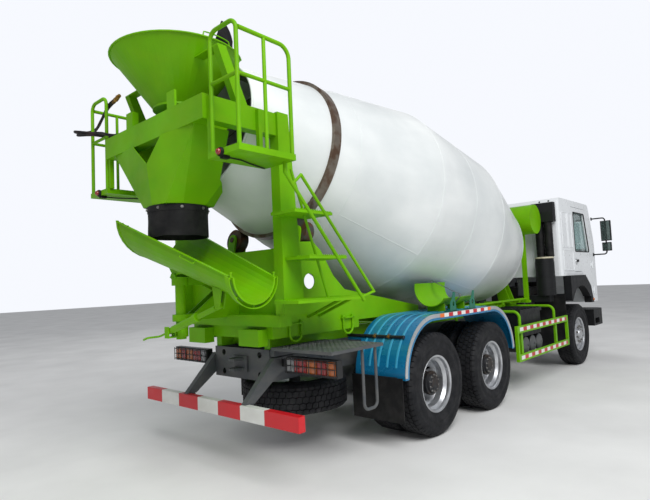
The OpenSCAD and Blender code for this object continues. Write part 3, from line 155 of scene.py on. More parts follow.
def mix_colour(tree, amount, a, b):
    return add_node(tree, "ShaderNodeMix", {0: amount, 6: a, 7: b}, 2, data_type="RGBA")


def spread(tree, value, low, high, start=0.3, end=0.7):
    """Maps a noise value to a range, for roughness or for a mask."""
    inputs = {"From Min": start, "From Max": end, "To Min": low, "To Max": high, "Value": value}
    return add_node(tree, "ShaderNodeMapRange", inputs, "Result")


def bump(tree, height, strength, distance):
    inputs = {"Strength": strength, "Distance": distance, "Height": height}
    return add_node(tree, "ShaderNodeBump", inputs, "Normal")


def paint(name, colour, shade=0.82, rough=(0.3, 0.42), metallic=0.0, coat=0.0, peel=0.15, dust=None,
          gloss=0.5):
    """Sprayed paint: slow colour variation, a little dust, and the fine dimples of spraying."""
    material, tree, shader, coordinates = finish_nodes(name)
    base = two_tones(tree, noise_at(tree, coordinates, TONE_SCALE), dimmed(colour, shade), colour)
    if dust:
        mask = spread(tree, noise_at(tree, coordinates, DUST_SCALE, 8.0, (1, 1, 2)), 0.0, MOST_DUST)
        base = mix_colour(tree, mask, base, dust)
    feed(tree, shader, {
        "Base Color": base, "Roughness": spread(tree, noise_at(tree, coordinates, GLOSS_SCALE, 6.0), *rough),
        "Specular IOR Level": gloss, "Metallic": metallic, "Coat Weight": coat,
        "Coat Roughness": COAT_ROUGHNESS,
        "Normal": bump(tree, noise_at(tree, coordinates, PEEL_SCALE, 2.0), peel, PEEL_DEPTH)})
    return material


# %% [markdown]
# The greens, the whites and the greys below were matched to the photograph's lit and shaded sides. The lime
# green has a soft gloss; the chassis is a satin grey; the mudguards are a metallic blue with a clear coat.
# Each is one call of the same recipe, so that all the paint ages alike.

# %% Painted finishes
green_paint = paint("lime_green_paint", srgb(112, 184, 0), shade=0.74, rough=(0.42, 0.56), coat=0.05,
                    dust=srgb(126, 172, 8), gloss=0.16)
chassis_paint = paint("chassis_grey_paint", srgb(70, 75, 80), rough=(0.45, 0.6), dust=srgb(120, 116, 108))
cab_paint = paint("cab_white_paint", srgb(240, 243, 245), shade=0.95, rough=(0.25, 0.35), coat=0.2, peel=0.0)
blue_paint = paint("mudguard_blue_paint", srgb(14, 128, 180), shade=0.78, rough=(0.25, 0.34), metallic=0.25,
                   coat=0.6, peel=0.03)
# The pressed ribs are the mudguard's own blue sheet; the lighter blue given to them is a painted highlight.
painted_rib_highlight = paint("mudguard_painted_rib_highlight", srgb(62, 166, 206), rough=(0.25, 0.4), coat=0.3)
silver_paint = paint("silver_paint", srgb(205, 208, 210), rough=(0.25, 0.35), metallic=0.7)
# Black paint. On the frame rails the same finish is the painted shade inside the punched holes.
black_paint_and_hole_shade = paint("black_paint_and_hole_shade", srgb(28, 29, 31), rough=(0.4, 0.55))
white_band = paint("band_white_paint", srgb(228, 229, 224), shade=0.9, rough=(0.35, 0.5),
                   dust=srgb(180, 175, 165))
red_band = paint("band_red_paint", srgb(205, 20, 32), shade=0.85, rough=(0.3, 0.45))
teal_paint = paint("bracket_teal_paint", srgb(24, 112, 88), rough=(0.35, 0.5))
cream_paint = paint("clamp_cream_paint", srgb(206, 198, 172), rough=(0.35, 0.5))
tape_white = paint("tape_white", srgb(236, 236, 232), shade=0.95, rough=(0.25, 0.35), peel=0.05)
tape_red = paint("tape_red", srgb(196, 22, 34), shade=0.9, rough=(0.25, 0.35), peel=0.05)
tape_orange = paint("tape_orange", srgb(240, 120, 40), shade=0.9, rough=(0.3, 0.4), peel=0.05)
print("painted finishes:", len(bpy.data.materials))

# %% [markdown]
# The drum is off-white with a cloudy bloom of cement dust, heavier towards the front. One noise makes
# the clouds, and a second, stretched along the drum, makes the faint streaks that turning leaves. A painted
# picture could show the same, but noise needs no picture and has no seam round the drum.

# %% Drum paint
BLACK, WHITE = (0, 0, 0, 1), (1, 1, 1, 1)
SMUDGES_START, SMUDGES_FULL = -0.6, 1.6
MOST_SMUDGE, MOST_STREAK = 0.8, 0.22
STREAK_STRETCH = (0.35, 1.6, 1.6)


def drum_finish():
    material, tree, shader, coordinates = finish_nodes("drum_white_paint")
    clouds = noise_at(tree, coordinates, 1.1, 6.0)
    streaks = noise_at(tree, coordinates, 2.5, 5.0, STREAK_STRETCH)
    base = ramp(tree, clouds, [(0.3, srgb(212, 217, 217)), (0.62, srgb(234, 237, 236))])
    along = add_node(tree, "ShaderNodeSeparateXYZ", {"Vector": coordinates}, "X")
    toward_front = spread(tree, along, 0.0, MOST_SMUDGE, SMUDGES_START, SMUDGES_FULL)
    smudge = ramp(tree, noise_at(tree, coordinates, 1.7, 9.0), [(0.52, BLACK), (0.72, WHITE)])
    amount = add_node(tree, "ShaderNodeMath", {0: smudge, 1: toward_front}, 0, operation="MULTIPLY")
    base = mix_colour(tree, amount, base, srgb(142, 146, 148))
    base = mix_colour(tree, spread(tree, streaks, 0.0, MOST_STREAK), base, srgb(190, 196, 197))
    feed(tree, shader, {
        "Base Color": base, "Roughness": spread(tree, clouds, 0.34, 0.5), "Coat Weight": 0.15,
        "Coat Roughness": 0.2, "Normal": bump(tree, noise_at(tree, coordinates, 3.0, 3.0), 0.12, 0.01)})
    return material


drum_paint = drum_finish()
print("drum paint made")

# %% [markdown]
# Rubber, moulded plastic, bare steel, glass and lamp lenses are not paint, so each has its own recipe.
# Tyres are dark grey and not black: fine road dust sits in the pores and lightens them.

# %% Rubber, plastic, metal and glass
def rubber(name, colour, dust, rough=(0.62, 0.8)):
    material, tree, shader, coordinates = finish_nodes(name)
    feed(tree, shader, {
        "Base Color": ramp(tree, noise_at(tree, coordinates, 7.0, 8.0), [(0.42, colour), (0.75, dust)]),
        "Roughness": spread(tree, noise_at(tree, coordinates, 30.0, 4.0), *rough), "Specular IOR Level": 0.25,
        "Normal": bump(tree, noise_at(tree, coordinates, 420.0, 3.0), 0.25, 0.001)})
    return material


def metal(name, colour, rough=(0.25, 0.4), grain=(1, 1, 1), rust=None):
    material, tree, shader, coordinates = finish_nodes(name)
    base = two_tones(tree, noise_at(tree, coordinates, 12.0, 6.0, grain), dimmed(colour, 0.8), colour)
    if rust:
        mask = ramp(tree, noise_at(tree, coordinates, 9.0, 9.0), [(0.45, BLACK), (0.6, WHITE)])
        base = mix_colour(tree, mask, base, rust)
    feed(tree, shader, {
        "Base Color": base, "Metallic": 0.55 if rust else 0.9,
        "Roughness": spread(tree, noise_at(tree, coordinates, 25.0, 5.0, grain), *rough),
        "Normal": bump(tree, noise_at(tree, coordinates, 140.0, 3.0, grain), 0.12, 0.001)})
    return material


def lens(name, colour, clear=0.35):
    """A moulded lamp lens, with the fine ribs that spread the light."""
    material, tree, shader, coordinates = finish_nodes(name)
    inputs = {"Scale": 60.0, "Vector": coordinates}
    wave = add_node(tree, "ShaderNodeTexWave", inputs, "Fac", bands_direction="Y")
    feed(tree, shader, {
        "Base Color": mix_colour(tree, wave, colour, dimmed(colour, 0.6)), "Roughness": 0.12,
        "Transmission Weight": clear, "Coat Weight": 1.0, "Normal": bump(tree, wave, 0.3, 0.002)})
    return material


def glass(name, tint, rough=0.03):
    material, tree, shader, coordinates = finish_nodes(name)
    film = noise_at(tree, coordinates, 2.0, 4.0)
    feed(tree, shader, {
        "Base Color": ramp(tree, film, [(0.3, tint), (0.7, dimmed(tint, 1.15))]),
        "Roughness": spread(tree, film, rough, rough + 0.04), "Transmission Weight": 0.85, "IOR": 1.45})
    return material


tyre_rubber = rubber("tyre_rubber", srgb(22, 23, 26), srgb(44, 44, 46))
black_rubber = rubber("black_rubber", srgb(15, 15, 16), srgb(38, 37, 36), rough=(0.5, 0.7))
hose_rubber = rubber("hose_rubber", srgb(24, 24, 25), srgb(70, 50, 45), rough=(0.4, 0.6))
black_plastic = paint("black_plastic", srgb(22, 23, 25), rough=(0.45, 0.6), peel=0.4, gloss=0.3)
grey_plastic = paint("seat_plastic", srgb(78, 79, 82), rough=(0.6, 0.75), peel=0.6)
wheel_silver = metal("wheel_silver", srgb(205, 207, 210), rough=(0.28, 0.42))
bare_steel = metal("bare_steel", srgb(150, 148, 145), rough=(0.35, 0.5))
cast_iron = metal("cast_iron", srgb(84, 82, 80), rough=(0.5, 0.7), rust=srgb(96, 62, 40))
ring_steel = metal("worn_ring_steel", srgb(126, 116, 104), rough=(0.35, 0.5), rust=srgb(92, 70, 54))
dark_steel = metal("oily_dark_steel", srgb(50, 51, 54), rough=(0.4, 0.6), rust=srgb(60, 50, 44))
aluminium = metal("tank_aluminium", srgb(200, 203, 206), rough=(0.22, 0.38), grain=(1, 8, 8))
brass = metal("brass", srgb(176, 138, 70), rough=(0.3, 0.45))
mirror_face = metal("mirror_face", srgb(120, 134, 130), rough=(0.03, 0.06))
window_glass = glass("window_glass", srgb(196, 214, 212))
lamp_red = lens("lamp_red", srgb(190, 16, 20))
lamp_amber = lens("lamp_amber", srgb(235, 120, 20))
lamp_clear = lens("lamp_clear", srgb(232, 234, 236), clear=0.6)
print("all finishes:", len(bpy.data.materials))

# %% [markdown]
# Most CAD nodes keep their own mesh and only get a better finish. A node is one object, so where two
# finishes meet on it, such as the silver front of the black bumper, the faces are sorted by place.

# %% Finish of the CAD nodes
BUMPER_FACE = 0.02


def give(names, material):
    for name in names:
        nodes[name].data.materials.clear()
        nodes[name].data.materials.append(material)


def give_where(name, second, test):
    """Adds a second finish on the faces whose centre passes the test."""
    mesh = nodes[name].data
    mesh.materials.append(second)
    for face in mesh.polygons:
        if test(face.center):
            face.material_index = len(mesh.materials) - 1


give(["frame_rails", "front_axle", "rear_axles", "springs", "side_step", "knuckle_left", "knuckle_right",
      "rear_bumper"], chassis_paint)
give(["engine", "drum_drive", "silencer"], dark_steel)
give(["subframe", "rear_pedestal", "front_pedestal", "hopper_frame", "charge_hopper", "hopper_throat",
      "discharge_hopper", "platforms", "ladder", "water_tank", "chute_post", "chute", "jack_tube", "jack_rod",
      "spare_chute", "side_guards"], green_paint)
give(["drum_shell"], drum_paint)
give(["drum_ring"], ring_steel)
give(["roller_left", "roller_right"], cast_iron)
give(["mudguards"], blue_paint)
give(["mudflaps", "hopper_rubber"], black_rubber)
give(["battery_box", "air_intake", "cab_trim", "mirrors"], black_plastic)
give(["fuel_tank"], aluminium)
give(["front_bumper"], black_plastic)
bumper_front = max(corner.co.x for corner in nodes["front_bumper"].data.vertices)
give_where("front_bumper", silver_paint, lambda centre: centre.x > bumper_front - BUMPER_FACE)
give(["cab_shell", "door_left", "door_right"], cab_paint)
give(["cab_glass", "door_glass_left", "door_glass_right"], window_glass)
give(["cab_interior"], grey_plastic)
give(["tail_lamps"], black_paint_and_hole_shade)
give(["headlamps"], lamp_clear)
give(["hose"], hose_rubber)
give(["hose_fittings"], brass)
give(["spare_wheel"] + [name for name in nodes if name.startswith("wheel_")], tyre_rubber)
print("finished nodes:", len(nodes))

# %% [markdown]
# Small pieces are collected into one mesh for each finish and body, so that a row of bolts is one object.
# They could be Blender's primitives with modifiers. A bmesh is used instead, because it puts every corner
# where the truck has it. The makers below return bars, turned shapes and skinned outlines.

# %% Mesh helpers
ORIGIN, Z_AXIS = (0, 0, 0), (0, 0, 1)
FULL_TURN = 2 * math.pi
SMALLEST = 1e-6


def joined(shapes):
    """Gathers bmeshes into one, and frees them."""
    whole = bmesh.new()
    for shape in shapes:
        part = bpy.data.meshes.new("part")
        shape.to_mesh(part)
        shape.free()
        whole.from_mesh(part)
        bpy.data.meshes.remove(part)
    return whole


def mesh_of(name, shapes, material, smooth=None):
    """One mesh with its finish. smooth is the angle in degrees above which an edge stays sharp."""
    whole = joined(shapes)
    mesh = bpy.data.meshes.new(name)
    whole.to_mesh(mesh)
    whole.free()
    mesh.materials.append(material)
    if smooth:
        mesh.shade_smooth()
        mesh.set_sharp_from_angle(angle=math.radians(smooth))
    return mesh


def add_piece(name, mesh, body, matrix=Matrix(), bevel=0.0):
    """Puts a mesh into the scene as a piece that moves with a body of the truck."""
    piece = bpy.data.objects.new(name, mesh)
    scene.collection.objects.link(piece)
    piece.matrix_world = matrix
    if bevel:
        modifier = piece.modifiers.new("edge", "BEVEL")
        modifier.width, modifier.segments, modifier.limit_method = bevel, 2, "ANGLE"
    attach(piece, body)
    return piece


def new_piece(name, shapes, material, body="chassis", smooth=None, bevel=0.0):
    """Joins bmeshes into one piece. Most pieces are fixed to the chassis."""
    return add_piece(name, mesh_of(name, shapes, material, smooth), body, bevel=bevel)


def polar(radius, angle, height=0.0):
    """A place on a circle about the Z axis."""
    return Vector((radius * math.cos(angle), radius * math.sin(angle), height))


def spaced(start, end, steps):
    """Evenly spaced values from start to end, with both of them."""
    return [start + (end - start) * k / steps for k in range(steps + 1)]


def toward(direction):
    """Turns Z to a direction."""
    return Vector(Z_AXIS).rotation_difference(Vector(direction)).to_matrix().to_4x4()


def bar(a, b, radius, sides=12, end_radius=None):
    """A round bar from a to b, which can taper."""
    a, b = Vector(a), Vector(b)
    shape = bmesh.new()
    bmesh.ops.create_cone(shape, cap_ends=True, segments=sides, radius1=radius,
                          radius2=radius if end_radius is None else end_radius, depth=(b - a).length)
    bmesh.ops.transform(shape, matrix=Matrix.Translation((a + b) / 2) @ toward(b - a), verts=shape.verts)
    return shape


def bolt(at, direction, radius=0.012, height=0.009):
    """A hexagon head on its washer."""
    at, direction = Vector(at), Vector(direction).normalized()
    washer = bar(at, at + direction * height * 0.25, radius * 1.35, 16)
    head = bar(at + direction * height * 0.2, at + direction * height, radius, 6)
    return joined([washer, head])


def loft(rows, closed=False, caps=()):
    """Skins outlines in a row. closed joins the last one to the first, and caps names the filled ones."""
    shape = bmesh.new()
    loops = [[shape.verts.new(place) for place in row] for row in rows]
    count = len(loops[0])
    for a, b in zip(loops, loops[1:] + (loops[:1] if closed else [])):
        for k in range(count):
            n = (k + 1) % count
            shape.faces.new((a[k], a[n], b[n], b[k]))
    for row in caps:
        shape.faces.new(loops[row])
    bmesh.ops.recalc_face_normals(shape, faces=shape.faces)
    return shape


def revolve(profile, at=ORIGIN, direction=Z_AXIS, sides=32):
    """Turns a profile of radius and height about a line from at along direction."""
    shape = bmesh.new()
    loops = []
    for radius, height in profile:
        count = 1 if radius < SMALLEST else sides
        loops.append([shape.verts.new(polar(radius, FULL_TURN * i / sides, height)) for i in range(count)])
    for lower, upper in zip(loops, loops[1:]):
        for i in range(sides):
            corners = [lower[i % len(lower)], lower[(i + 1) % len(lower)],
                       upper[(i + 1) % len(upper)], upper[i % len(upper)]]
            corners = [v for n, v in enumerate(corners) if v not in corners[:n]]
            if len(corners) > 2:
                shape.faces.new(corners)
    bmesh.ops.transform(shape, matrix=Matrix.Translation(Vector(at)) @ toward(direction), verts=shape.verts)
    bmesh.ops.recalc_face_normals(shape, faces=shape.faces)
    return shape


def dome(at, direction, radius, height, sides=16, rings=5):
    """A rounded cap on a flat base."""
    profile = [(radius * math.cos(t), height * math.sin(t)) for t in spaced(0, math.pi / 2, rings)]
    return revolve([(radius, 0.0)] + profile[:-1] + [(0.0, height)], at, direction, sides)


def ring(at, direction, radius, thick, sides=64, around=8):
    """A torus about a line: a weld bead, a rolled edge or a band."""
    profile = [(radius + thick * math.cos(t), thick * math.sin(t)) for t in spaced(0, FULL_TURN, around)]
    return revolve(profile, at, direction, sides)


def sleeve(inner, outer, low, high, at=ORIGIN, sides=32):
    """An upright ring with a rectangular section."""
    section = [(inner, low), (outer, low), (outer, high), (inner, high), (inner, low)]
    return revolve(section, at, Z_AXIS, sides)


def flat_section(start, end, inner, outer):
    """The four corners of a flat strip's section: a place along the axis, and a distance out from it."""
    return [(start, inner), (start, outer), (end, outer), (end, inner)]


print("mesh helpers ready")

# %% [markdown]
# Places on the truck are written as on its drawing: millimetres ahead of the rearmost axle, to the left of
# the middle, and above the ground. One small function turns them into the frame's metres.

# %% Drawing places
rear_low, rear_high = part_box("wheel_rear_right")
REAR_AXLE_X = (rear_low.x + rear_high.x) / 2


def mm(x, y, z):
    return Vector((REAR_AXLE_X + x / 1000, y / 1000, z / 1000))


def block(a, b):
    """A box between two drawing places, which can be any two opposite corners of it."""
    a, b = mm(*a), mm(*b)
    size = Vector([abs(q - p) for p, q in zip(a, b)])
    shape = bmesh.new()
    bmesh.ops.create_cube(shape, size=1.0)
    bmesh.ops.scale(shape, vec=size, verts=shape.verts)
    bmesh.ops.translate(shape, vec=(a + b) / 2, verts=shape.verts)
    return shape


def tube(points, radius, sides=12, closed=False):
    """Mesh of a round tube through a list of places, with its corners as given."""
    places = [Vector(p) for p in points]
    count = len(places)
    side = None
    rows = []
    for i, place in enumerate(places):
        before = places[i - 1] if i or closed else place
        after = places[(i + 1) % count] if i < count - 1 or closed else place
        along = (after - before).normalized()
        if side is None:
            side = along.orthogonal().normalized()
        side = (side - along * side.dot(along)).normalized()
        other = along.cross(side)
        rows.append([place + radius * (math.cos(a) * side + math.sin(a) * other)
                     for a in spaced(0, FULL_TURN, sides)[:-1]])
    return loft(rows, closed, () if closed else (0, -1))


def rounded(points, radius, steps=5):
    """Rounds the inner corners of a route, as a bent tube has them."""
    places = [Vector(p) for p in points]
    route = [places[0]]
    for a, b, c in zip(places, places[1:], places[2:]):
        u, v = (a - b).normalized(), (c - b).normalized()
        half = u.angle(v) / 2
        cut = radius / math.tan(half)
        centre = b + (u + v).normalized() * (radius / math.sin(half))
        start, end = b + u * cut - centre, b + v * cut - centre
        turn = start.angle(end)
        for t in spaced(0, 1, steps):
            spoke = math.sin((1 - t) * turn) * start + math.sin(t * turn) * end
            route.append(centre + spoke / math.sin(turn))
    return route + [places[-1]]


print("rearmost axle at x =", round(REAR_AXLE_X, 4))

# %% [markdown]
# The wash hose hangs in two loops over the rail of the left platform. It is a soft rubber hose, 28 mm
# thick, with a brass coupling on each end. It follows the points of the CAD tube's route, measured in
# metres from the rearmost axle, and a smooth curve joins them. A simulated rope would hang as well, but its
# place would differ from the CAD's.

# %% Wash hose
HOSE_DIAMETER = 0.028
HOSE_ROUTE = [
    (-2.510, 0.800, 3.615), (-2.530, 0.930, 3.575), (-2.515, 1.050, 3.530), (-2.495, 1.170, 3.490),
    (-2.475, 1.280, 3.460), (-2.470, 1.370, 3.440), (-2.495, 1.450, 3.425), (-2.560, 1.485, 3.410),
    (-2.635, 1.465, 3.395), (-2.680, 1.400, 3.380), (-2.680, 1.320, 3.360), (-2.655, 1.220, 3.335),
    (-2.630, 1.120, 3.310), (-2.615, 1.000, 3.285), (-2.610, 0.900, 3.260), (-2.610, 0.800, 3.225),
    (-2.580, 0.700, 3.199), (-2.550, 0.600, 3.1945), (-2.500, 0.520, 3.1945), (-2.420, 0.510, 3.192),
    (-2.360, 0.560, 3.192), (-2.345, 0.640, 3.1935), (-2.370, 0.730, 3.1945), (-2.430, 0.810, 3.199),
    (-2.530, 0.940, 3.245), (-2.580, 1.010, 3.265), (-2.620, 1.090, 3.285), (-2.650, 1.180, 3.300),
    (-2.670, 1.270, 3.314), (-2.670, 1.330, 3.327), (-2.655, 1.390, 3.345), (-2.620, 1.440, 3.365),
    (-2.560, 1.455, 3.385), (-2.505, 1.420, 3.400), (-2.485, 1.360, 3.415), (-2.495, 1.270, 3.432),
    (-2.510, 1.170, 3.460), (-2.525, 1.050, 3.498), (-2.535, 0.930, 3.540), (-2.525, 0.800, 3.583)]
COUPLING_NUT = dict(start=0.014, end=0.034, radius=0.0205)
CLAMP_RINGS = dict(places=(0.042, 0.048, 0.054), radius=0.0165, thick=0.002)
GRIP_RINGS = dict(places=(-0.012, -0.024), radius=0.0150, thick=0.0022)


def smooth_line(points, steps):
    """A Catmull-Rom curve through the points, which goes straight on at its ends."""
    places = [Vector(p) for p in points]
    places = [2 * places[0] - places[1]] + places + [2 * places[-1] - places[-2]]
    line = []
    for a, b, c, d in zip(places, places[1:], places[2:], places[3:]):
        for k in range(steps):
            t = k / steps
            line.append(b + (c - a) * (t / 2) + (2 * a - 5 * b + 4 * c - d) * (t * t / 2)
                        + (3 * b - 3 * c + d - a) * (t ** 3 / 2))
    return line + [places[-2]]


def coupling_parts(tip, inner):
    """Hexagon nut, clamp and grip rings of a coupling that starts at the hose's tip."""
    out = (tip - inner).normalized()
    nut_start, nut_end = tip + out * COUPLING_NUT["start"], tip + out * COUPLING_NUT["end"]
    shapes = [bar(nut_start, nut_end, COUPLING_NUT["radius"], 6)]
    for rings in (CLAMP_RINGS, GRIP_RINGS):
        shapes += [ring(tip + out * d, out, rings["radius"], rings["thick"], 24, 6) for d in rings["places"]]
    return shapes


hose_line = smooth_line([(REAR_AXLE_X + x, y, z) for x, y, z in HOSE_ROUTE], 4)
hose = new_piece("wash_hose", [tube(hose_line, HOSE_DIAMETER / 2)], hose_rubber, smooth=60)
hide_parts("hose")
both_ends = coupling_parts(hose_line[0], hose_line[1]) + coupling_parts(hose_line[-1], hose_line[-2])
coupling_rings = new_piece("coupling_rings", both_ends, brass, smooth=30)
print("hose:", round(sum((b - a).length for a, b in zip(hose_line, hose_line[1:])), 3), "m")

# %% [markdown]
# Each wheel of the CAD frame is replaced by a modelled one of the same size, because a tyre's look is its
# tread. A tread could be bump, but its blocks show against the sky and in the mesh, so they are real. The
# casing is turned from half a section, mirrored. It runs from the bead over the side wall to below the
# tread.

# %% Tyre casing
TYRE_R, SEAT_R = 0.5425, 0.286
TREAD_DEPTH = 0.015
WHEEL_SIDES = 72
SIDE_WALL = [(0.0, 0.104), (0.012, 0.118), (0.02, 0.127), (0.028, 0.127), (0.05, 0.139), (0.085, 0.1475),
             (0.11, 0.1495), (0.113, 0.1472), (0.135, 0.149), (0.16, 0.147), (0.162, 0.1495), (0.185, 0.1485)]
SHOULDER = [(0.055, 0.147), (0.04, 0.143), (TREAD_DEPTH + 0.014, 0.138), (TREAD_DEPTH + 0.003, 0.115),
            (TREAD_DEPTH, 0.08)]


def tyre_casing():
    """The side wall is measured out from the seat, and the shoulder in from the tread."""
    half = [(SEAT_R + out, -v) for out, v in SIDE_WALL] + [(TYRE_R - inward, -v) for inward, v in SHOULDER]
    casing = revolve(half + [(r, -v) for r, v in reversed(half)], sides=WHEEL_SIDES)
    for face in casing.faces:
        face.smooth = True
    return casing


print("casing of", len(SIDE_WALL) + len(SHOULDER), "points on each side")

# %% [markdown]
# Each block of the tread is a small grid whose rim drops to the casing, and a loop lays the blocks in five
# rows. Neighbouring rows are shifted by half a block, and their edges bulge, which makes the zigzag
# grooves.

# %% Tyre tread
BLOCKS_ROUND = 54
BLOCK_STEP = FULL_TURN / BLOCKS_ROUND
CROWN_HALF, SHOULDER_HALF = 0.085, 0.128
GROOVE = 0.0042 / TYRE_R
ZIGZAG = 0.007
SLANT = 0.0035 / TYRE_R
CROWN_CURVE, SHOULDER_CURVE = 2.2, 180
FOOT_DEPTH, FOOT_WIDTH = TREAD_DEPTH * 1.25, 0.985
BLOCK_ROWS = [((-0.147, -0.138, -0.115, -0.092), (3,), 0.0), ((-0.083, -0.0585, -0.034), (0, 2), 0.5),
              ((-0.026, 0.0, 0.026), (0, 2), 0.0), ((0.034, 0.0585, 0.083), (0, 2), 0.5),
              ((0.092, 0.115, 0.138, 0.147), (0,), 0.0)]


def tread_radius(v):
    """Radius of the tread's top at a place across it: a flat crown and a rounded shoulder."""
    edge = max(0.0, abs(v) - CROWN_HALF)
    fall = max(0.0, abs(v) - SHOULDER_HALF)
    return TYRE_R - CROWN_CURVE * edge ** 2 - SHOULDER_CURVE * fall ** 2


def tread_block(shape, across, waved, start):
    """A block from angle start. across lists its columns' places, and the edges of the waved ones bulge."""
    top = []
    for n, v in enumerate(across):
        slant = SLANT * (n - 1) if len(across) == 3 else 0.0
        row = []
        for angle, bulge in ((start + GROOVE, -ZIGZAG / 2), (start + BLOCK_STEP / 2, ZIGZAG / 2),
                             (start + BLOCK_STEP - GROOVE, -ZIGZAG / 2)):
            wave = (bulge if n else -bulge) if n in waved else 0.0
            row.append(shape.verts.new(polar(tread_radius(v), angle + slant, v + wave)))
        top.append(row)
    for lower, upper in zip(top, top[1:]):
        for m in range(2):
            shape.faces.new((lower[m], lower[m + 1], upper[m + 1], upper[m]))
    rim = top[0] + [row[-1] for row in top[1:]] + top[-1][-2::-1] + [row[0] for row in reversed(top[1:-1])]
    foot = []
    for vertex in rim:
        x, y, v = vertex.co
        shrink = (tread_radius(v) - FOOT_DEPTH) / math.hypot(x, y)
        foot.append(shape.verts.new((x * shrink, y * shrink, v * FOOT_WIDTH)))
    for m in range(len(rim)):
        n = (m + 1) % len(rim)
        shape.faces.new((rim[m], foot[m], foot[n], rim[n]))


def tyre_mesh():
    shape = tyre_casing()
    for across, waved, shift in BLOCK_ROWS:
        for i in range(BLOCKS_ROUND):
            tread_block(shape, across, waved, (i + shift) * BLOCK_STEP)
    bmesh.ops.recalc_face_normals(shape, faces=shape.faces)
    return mesh_of("tyre", [shape], tyre_rubber)


tyre_data = tyre_mesh()
print("tyre:", len(tyre_data.polygons), "faces")

# %% [markdown]
# A steel wheel is a rolled barrel with a pressed disc in it. The barrel is a revolve. The disc has hand
# holes, and each sector of it is a fan of quads between a round hole and the sector's edge, so no boolean
# is needed.

# %% Barrel and disc
BARREL_HALF = 0.112
BARREL_OUTSIDE = [(0.012, 0.013), (0.016, 0.009), (0.013, 0.002), (0.0, -0.008), (-0.001, -0.03),
                  (-0.03, -0.062)]
BARREL_INSIDE = [(0.004, 0.012), (-0.007, 0.004), (-0.011, -0.01), (-0.011, -0.032), (-0.038, -0.064)]
DISC_HOLES = dict(count=10, at=0.208, radius=0.019)
FLANGE = dict(inner=0.105, outer=0.165, thick=0.012)
DISC_EDGE = SEAT_R - 0.038
DISC_BEND = SEAT_R - 0.045
DISC_CURVE = 1.6
OVERLAP = 0.001


def barrel():
    """Both lists run from the flange to the middle: height over the seat, and place past the half width."""
    outside = [(SEAT_R + out, BARREL_HALF + v) for out, v in BARREL_OUTSIDE]
    inside = [(SEAT_R + out, BARREL_HALF + v) for out, v in BARREL_INSIDE]
    section = outside + [(r, -v) for r, v in outside[::-1] + inside] + inside[::-1]
    return revolve(section + section[:1], sides=WHEEL_SIDES)


def sector_edge(inner, outer, around=6):
    """Places round a sector's edge: radius, and the share of the sector to the side of its middle."""
    edge = []
    for k in range(4 * around):
        side, t = k // around, k % around / around
        edge.append([(inner, t - 0.5), (inner + (outer - inner) * t, 0.5),
                     (outer, 0.5 - t), (outer - (outer - inner) * t, -0.5)][side])
    return edge


def holed_disc(inner, outer, height, thick):
    """A pressed disc with a ring of round holes: height(r) is the place of its outer face."""
    shape = bmesh.new()
    sector = FULL_TURN / DISC_HOLES["count"]
    edge = sector_edge(inner, outer)
    for i in range(DISC_HOLES["count"]):
        loops = []
        for sunk in (0, thick):
            rim, hole = [], []
            for r, t in edge:
                rim.append(shape.verts.new(polar(r, (i + t) * sector, height(r) - sunk)))
                bearing = math.atan2(r * math.sin(t * sector), r * math.cos(t * sector) - DISC_HOLES["at"])
                x = DISC_HOLES["at"] + DISC_HOLES["radius"] * math.cos(bearing)
                y = DISC_HOLES["radius"] * math.sin(bearing)
                r_hole = math.hypot(x, y)
                angle = i * sector + math.atan2(y, x)
                hole.append(shape.verts.new(polar(r_hole, angle, height(r_hole) - sunk)))
            loops.append((rim, hole))
        for n in range(len(edge)):
            m = (n + 1) % len(edge)
            for rim, hole in loops:
                shape.faces.new((rim[n], rim[m], hole[m], hole[n]))
            shape.faces.new((loops[0][1][n], loops[0][1][m], loops[1][1][m], loops[1][1][n]))
    bmesh.ops.remove_doubles(shape, verts=shape.verts, dist=0.0002)
    bmesh.ops.recalc_face_normals(shape, faces=shape.faces)
    return shape


def rim_mesh(name, face, collar):
    """Barrel and disc. The nuts' flange lies at face, and collar is where the disc meets the barrel."""
    inward = math.copysign(FLANGE["thick"], face)

    def height(r):
        t = min(1.0, max(0.0, (r - FLANGE["outer"]) / (DISC_BEND - FLANGE["outer"])))
        return face + (collar - face) * t ** DISC_CURVE

    disc = holed_disc(FLANGE["outer"] - OVERLAP, DISC_EDGE, height, inward)
    flange = sleeve(FLANGE["inner"], FLANGE["outer"], face, face - inward, sides=60)
    return mesh_of(name, [barrel(), disc, flange], wheel_silver, smooth=35)


TWIN_STEP = 0.337
FRONT_FACE, REAR_FACE, SPARE_FACE = 0.110, -TWIN_STEP / 2, 0.060
DISC_COLLAR = 0.036
front_rim = rim_mesh("front_rim", FRONT_FACE, DISC_COLLAR)
outer_rim = rim_mesh("outer_rim", REAR_FACE + OVERLAP, -DISC_COLLAR)
inner_rim = rim_mesh("inner_rim", -REAR_FACE - OVERLAP, DISC_COLLAR)
spare_rim = rim_mesh("spare_rim", SPARE_FACE, DISC_COLLAR)
print("rim:", len(front_rim.polygons), "faces")

# %% [markdown]
# The hub carries ten wheel nuts. A nut is a hexagon on a cone washer, with the stud's end standing out of
# it. The rear hub also shows the ring of screws that hold the drive shaft's flange.

# %% Hubs and nuts
NUT_CIRCLE, SCREW_CIRCLE = 0.1425, 0.088
WASHER_THICK, STUD_OUT = 0.005, 0.012
HUB_SIDES = 48
FRONT_HUB = [(0.118, 0.100), (0.118, 0.113), (0.110, 0.118), (0.100, 0.118), (0.098, 0.136), (0.092, 0.143),
             (0.080, 0.145), (0.078, 0.149), (0, 0.150)]
REAR_HUB = [(0.118, REAR_FACE - 0.005), (0.118, 0.02), (0.127, 0.03), (0.130, 0.045), (0.127, 0.060),
            (0.108, 0.064), (0.105, 0.078), (0.102, 0.086), (0.062, 0.088), (0.058, 0.094), (0, 0.095)]


